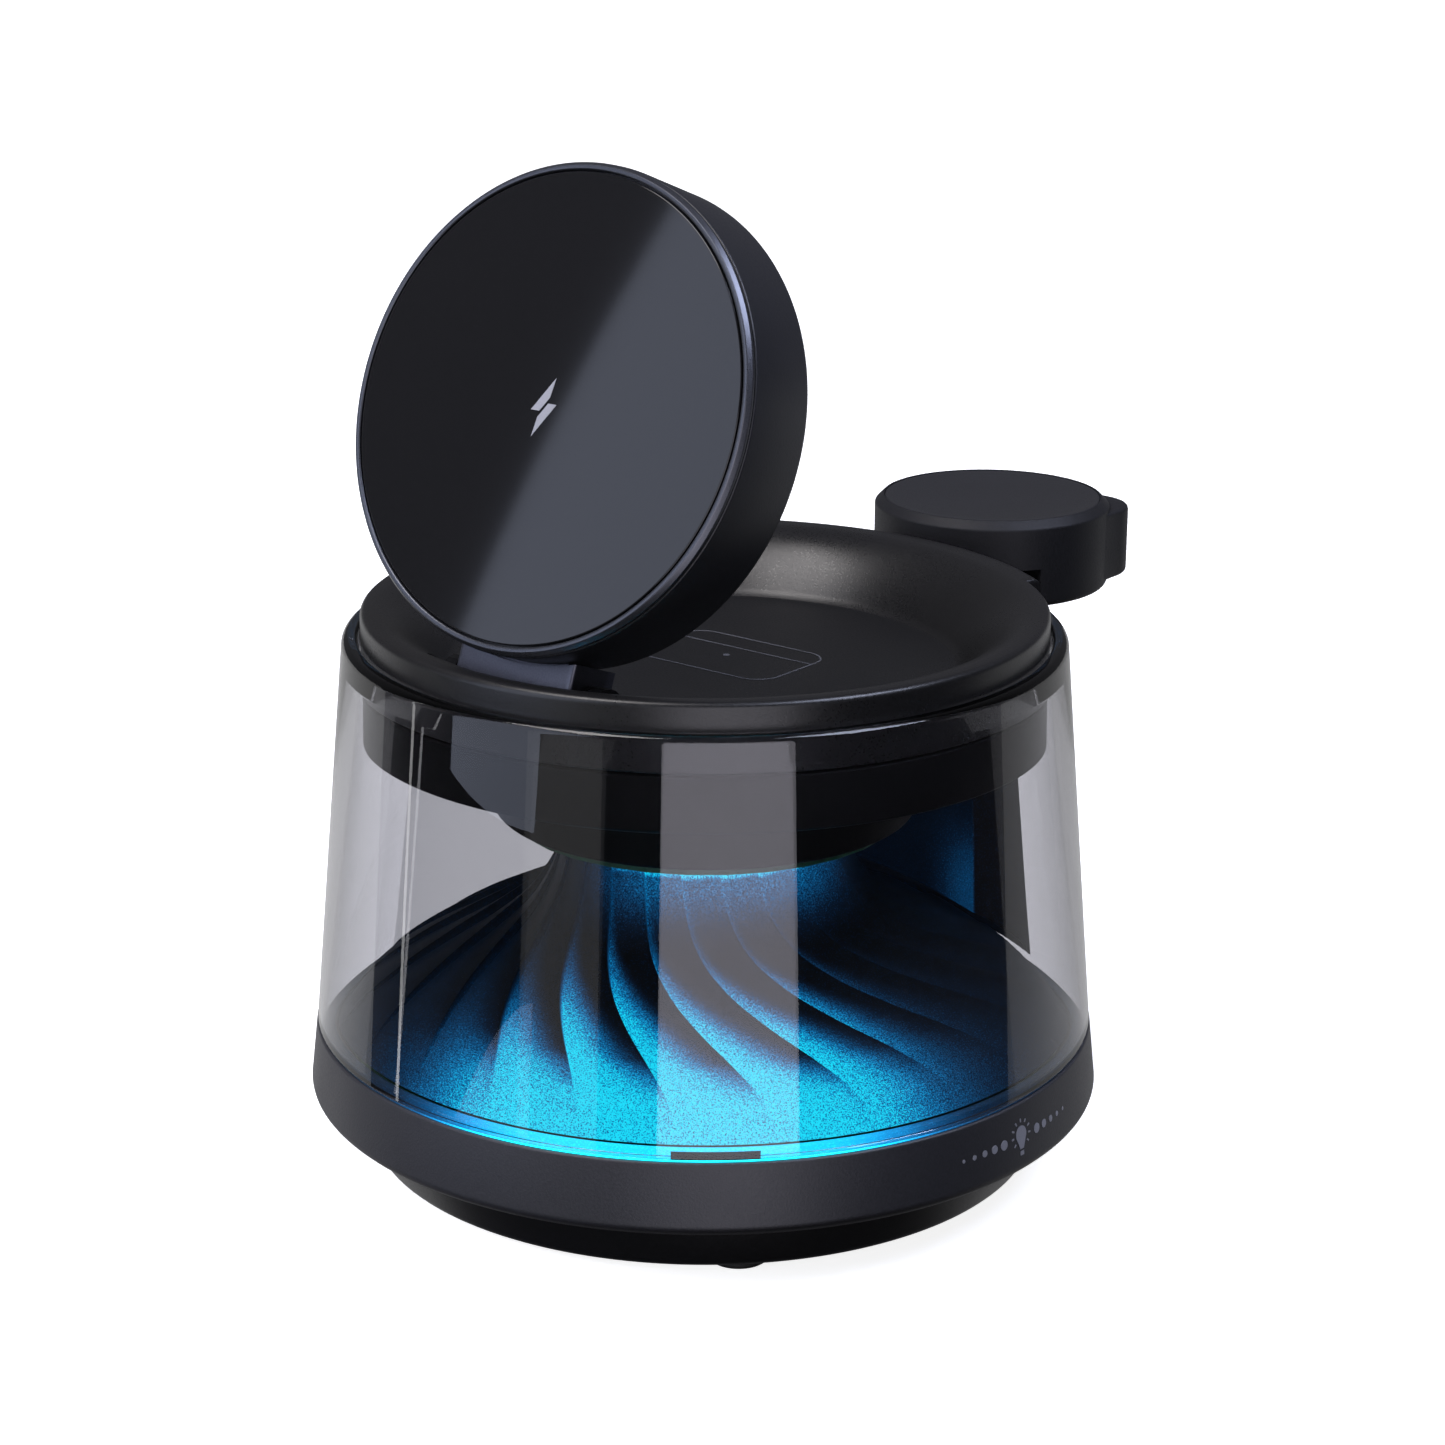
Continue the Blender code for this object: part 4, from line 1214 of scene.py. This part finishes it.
def disc_card():
    """A bluish card whose slanting left edge crosses the middle of the phone disc's reflection."""
    width, height = 0.7, 1.2
    edge_middle = Vector((-0.625, -0.726, 0.436))
    along = Vector((0.291, 0.252, 0.923)).normalized()
    across = Vector((0.729, -0.683, -0.044)).normalized()
    lamp = area_light("disc_card", (width, height), radiance=1.5, tint=(0.86, 0.95, 1.22))
    lamp.location = edge_middle + across * width / 2
    lamp.rotation_euler = Matrix((across, along, across.cross(along))).transposed().to_euler()


def pale_floor():
    shape = bmesh.new()
    bmesh.ops.create_grid(shape, x_segments=8, y_segments=8, size=6000)
    floor = to_object("floor", shape)
    nodes = Surface("pale_floor")
    tones = nodes.ramp(nodes.noise(90.0), [(0.3, (0.83, 0.83, 0.84)), (0.7, (0.86, 0.86, 0.87))])
    nodes.set(Base_Color=tones, Roughness=0.9, Emission_Color=(1, 1, 1, 1), Emission_Strength=0.85)
    floor.data.materials.append(nodes.material)
    floor.visible_glossy = False
    floor.visible_diffuse = False
    floor.visible_transmission = False


WHITE = (1, 1, 1)
# Where each light is: its polar angle and elevation in degrees and its distance in metres. Then its size in
# metres, how bright it looks, and its tint. The cards shape the reflections. The two flanks are below the
# floor and show only in the cover's sides
SOFTBOXES = {
    "front_card": (VIEW_POLAR + 7, -4, 1.3, (0.92, 1.6), 2.0, (1.0, 0.97, 1.08)),
    "dim_card": (-93.3, -4, 1.2, (0.5, 1.5), 0.35, WHITE),
    "lid_light": (-120, 66, 1.0, (0.5, 0.4), 7.5, (1.0, 0.96, 0.96)),
    "left_strip": (VIEW_POLAR - 98, -4, 1.2, (0.025, 1.2), 3.0, WHITE),
    "top_right": (20, 58, 1.1, (0.5, 0.5), 9.0, (0.85, 0.92, 1.2)),
    "left_fill": (-112, 44, 1.2, (0.7, 0.7), 6.0, (0.97, 0.97, 1.06)),
    "right_flank": (84, -22, 1.3, (1.8, 1.2), 0.35, WHITE),
    "left_flank": (168, -22, 1.3, (1.3, 1.2), 0.5, WHITE),
}


def lights():
    made = {name: softbox(name, *values) for name, values in SOFTBOXES.items()}
    made["front_card"].visible_diffuse = False
    made["left_fill"].visible_glossy = False
    made["left_fill"].visible_transmission = False
    disc_card()


def world():
    """White to the camera, also through clear plastic where the ray stays low, and dim to all other rays."""
    made = bpy.data.worlds.new("studio")
    bpy.context.scene.world = made
    made.use_nodes = True
    made.node_tree.nodes.clear()
    nodes = Tree(made.node_tree)
    rays = nodes.add("ShaderNodeLightPath").outputs
    way = nodes.add("ShaderNodeTexCoord").outputs["Generated"]
    height = nodes.add("ShaderNodeSeparateXYZ", Vector=way).outputs["Z"]
    high = nodes.add("ShaderNodeMapRange", Value=height, From_Min=0.25, From_Max=0.40).outputs["Result"]
    bounced = nodes.maths("ADD", rays["Diffuse Depth"], rays["Glossy Depth"], clamp=True)
    dim = nodes.maths("MAXIMUM", bounced, high)
    share = nodes.maths("SUBTRACT", dim, rays["Is Camera Ray"], clamp=True)

    behind = nodes.add("ShaderNodeVectorMath")
    behind.operation = "DOT_PRODUCT"
    nodes.feed(behind.inputs[0], way)
    nodes.feed(behind.inputs[1], polar_point(-1.0, VIEW_POLAR, 0))
    greys = nodes.ramp(behind.outputs["Value"], [(0.14, (0.02, 0.02, 0.022)), (0.5, (0.09, 0.09, 0.10))])
    around = nodes.add("ShaderNodeBackground", Color=greys)
    seen = nodes.add("ShaderNodeBackground", Color=(1, 1, 1, 1))
    mix = nodes.add("ShaderNodeMixShader", Fac=share)
    nodes.feed(mix.inputs[1], seen.outputs["Background"])
    nodes.feed(mix.inputs[2], around.outputs["Background"])
    nodes.add("ShaderNodeOutputWorld", Surface=mix.outputs["Shader"])


def camera():
    data = bpy.data.cameras.new("camera")
    data.sensor_width = 36.0
    data.lens = LENS
    data.clip_start = 0.01
    made = bpy.data.objects.new("camera", data)
    made.location = polar_point(CAMERA_REACH, VIEW_POLAR, CAMERA_HEIGHT)
    heading = math.radians(VIEW_POLAR) + math.pi / 2 - CAMERA_YAW
    level = Matrix.Rotation(heading, 4, "Z") @ Matrix.Rotation(math.pi / 2 - CAMERA_PITCH, 4, "X")
    made.rotation_euler = (level @ Matrix.Rotation(-CAMERA_ROLL, 4, "Z")).to_euler()
    bpy.context.scene.collection.objects.link(made)
    bpy.context.scene.camera = made


bpy.context.scene.view_settings.view_transform = "Standard"
camera()
world()
pale_floor()
lights()
base_ring()
bottom_cover()
feet()
touch_marks()
light_guide()
locating_tab()
reflector()
spine()
cover()
housing()
hood()
lid()
earbud_mark()
phone_arm()
disc_shell()
disc_face()
charge_mark()
watch_bracket()
pod_shell()
watch_pad()
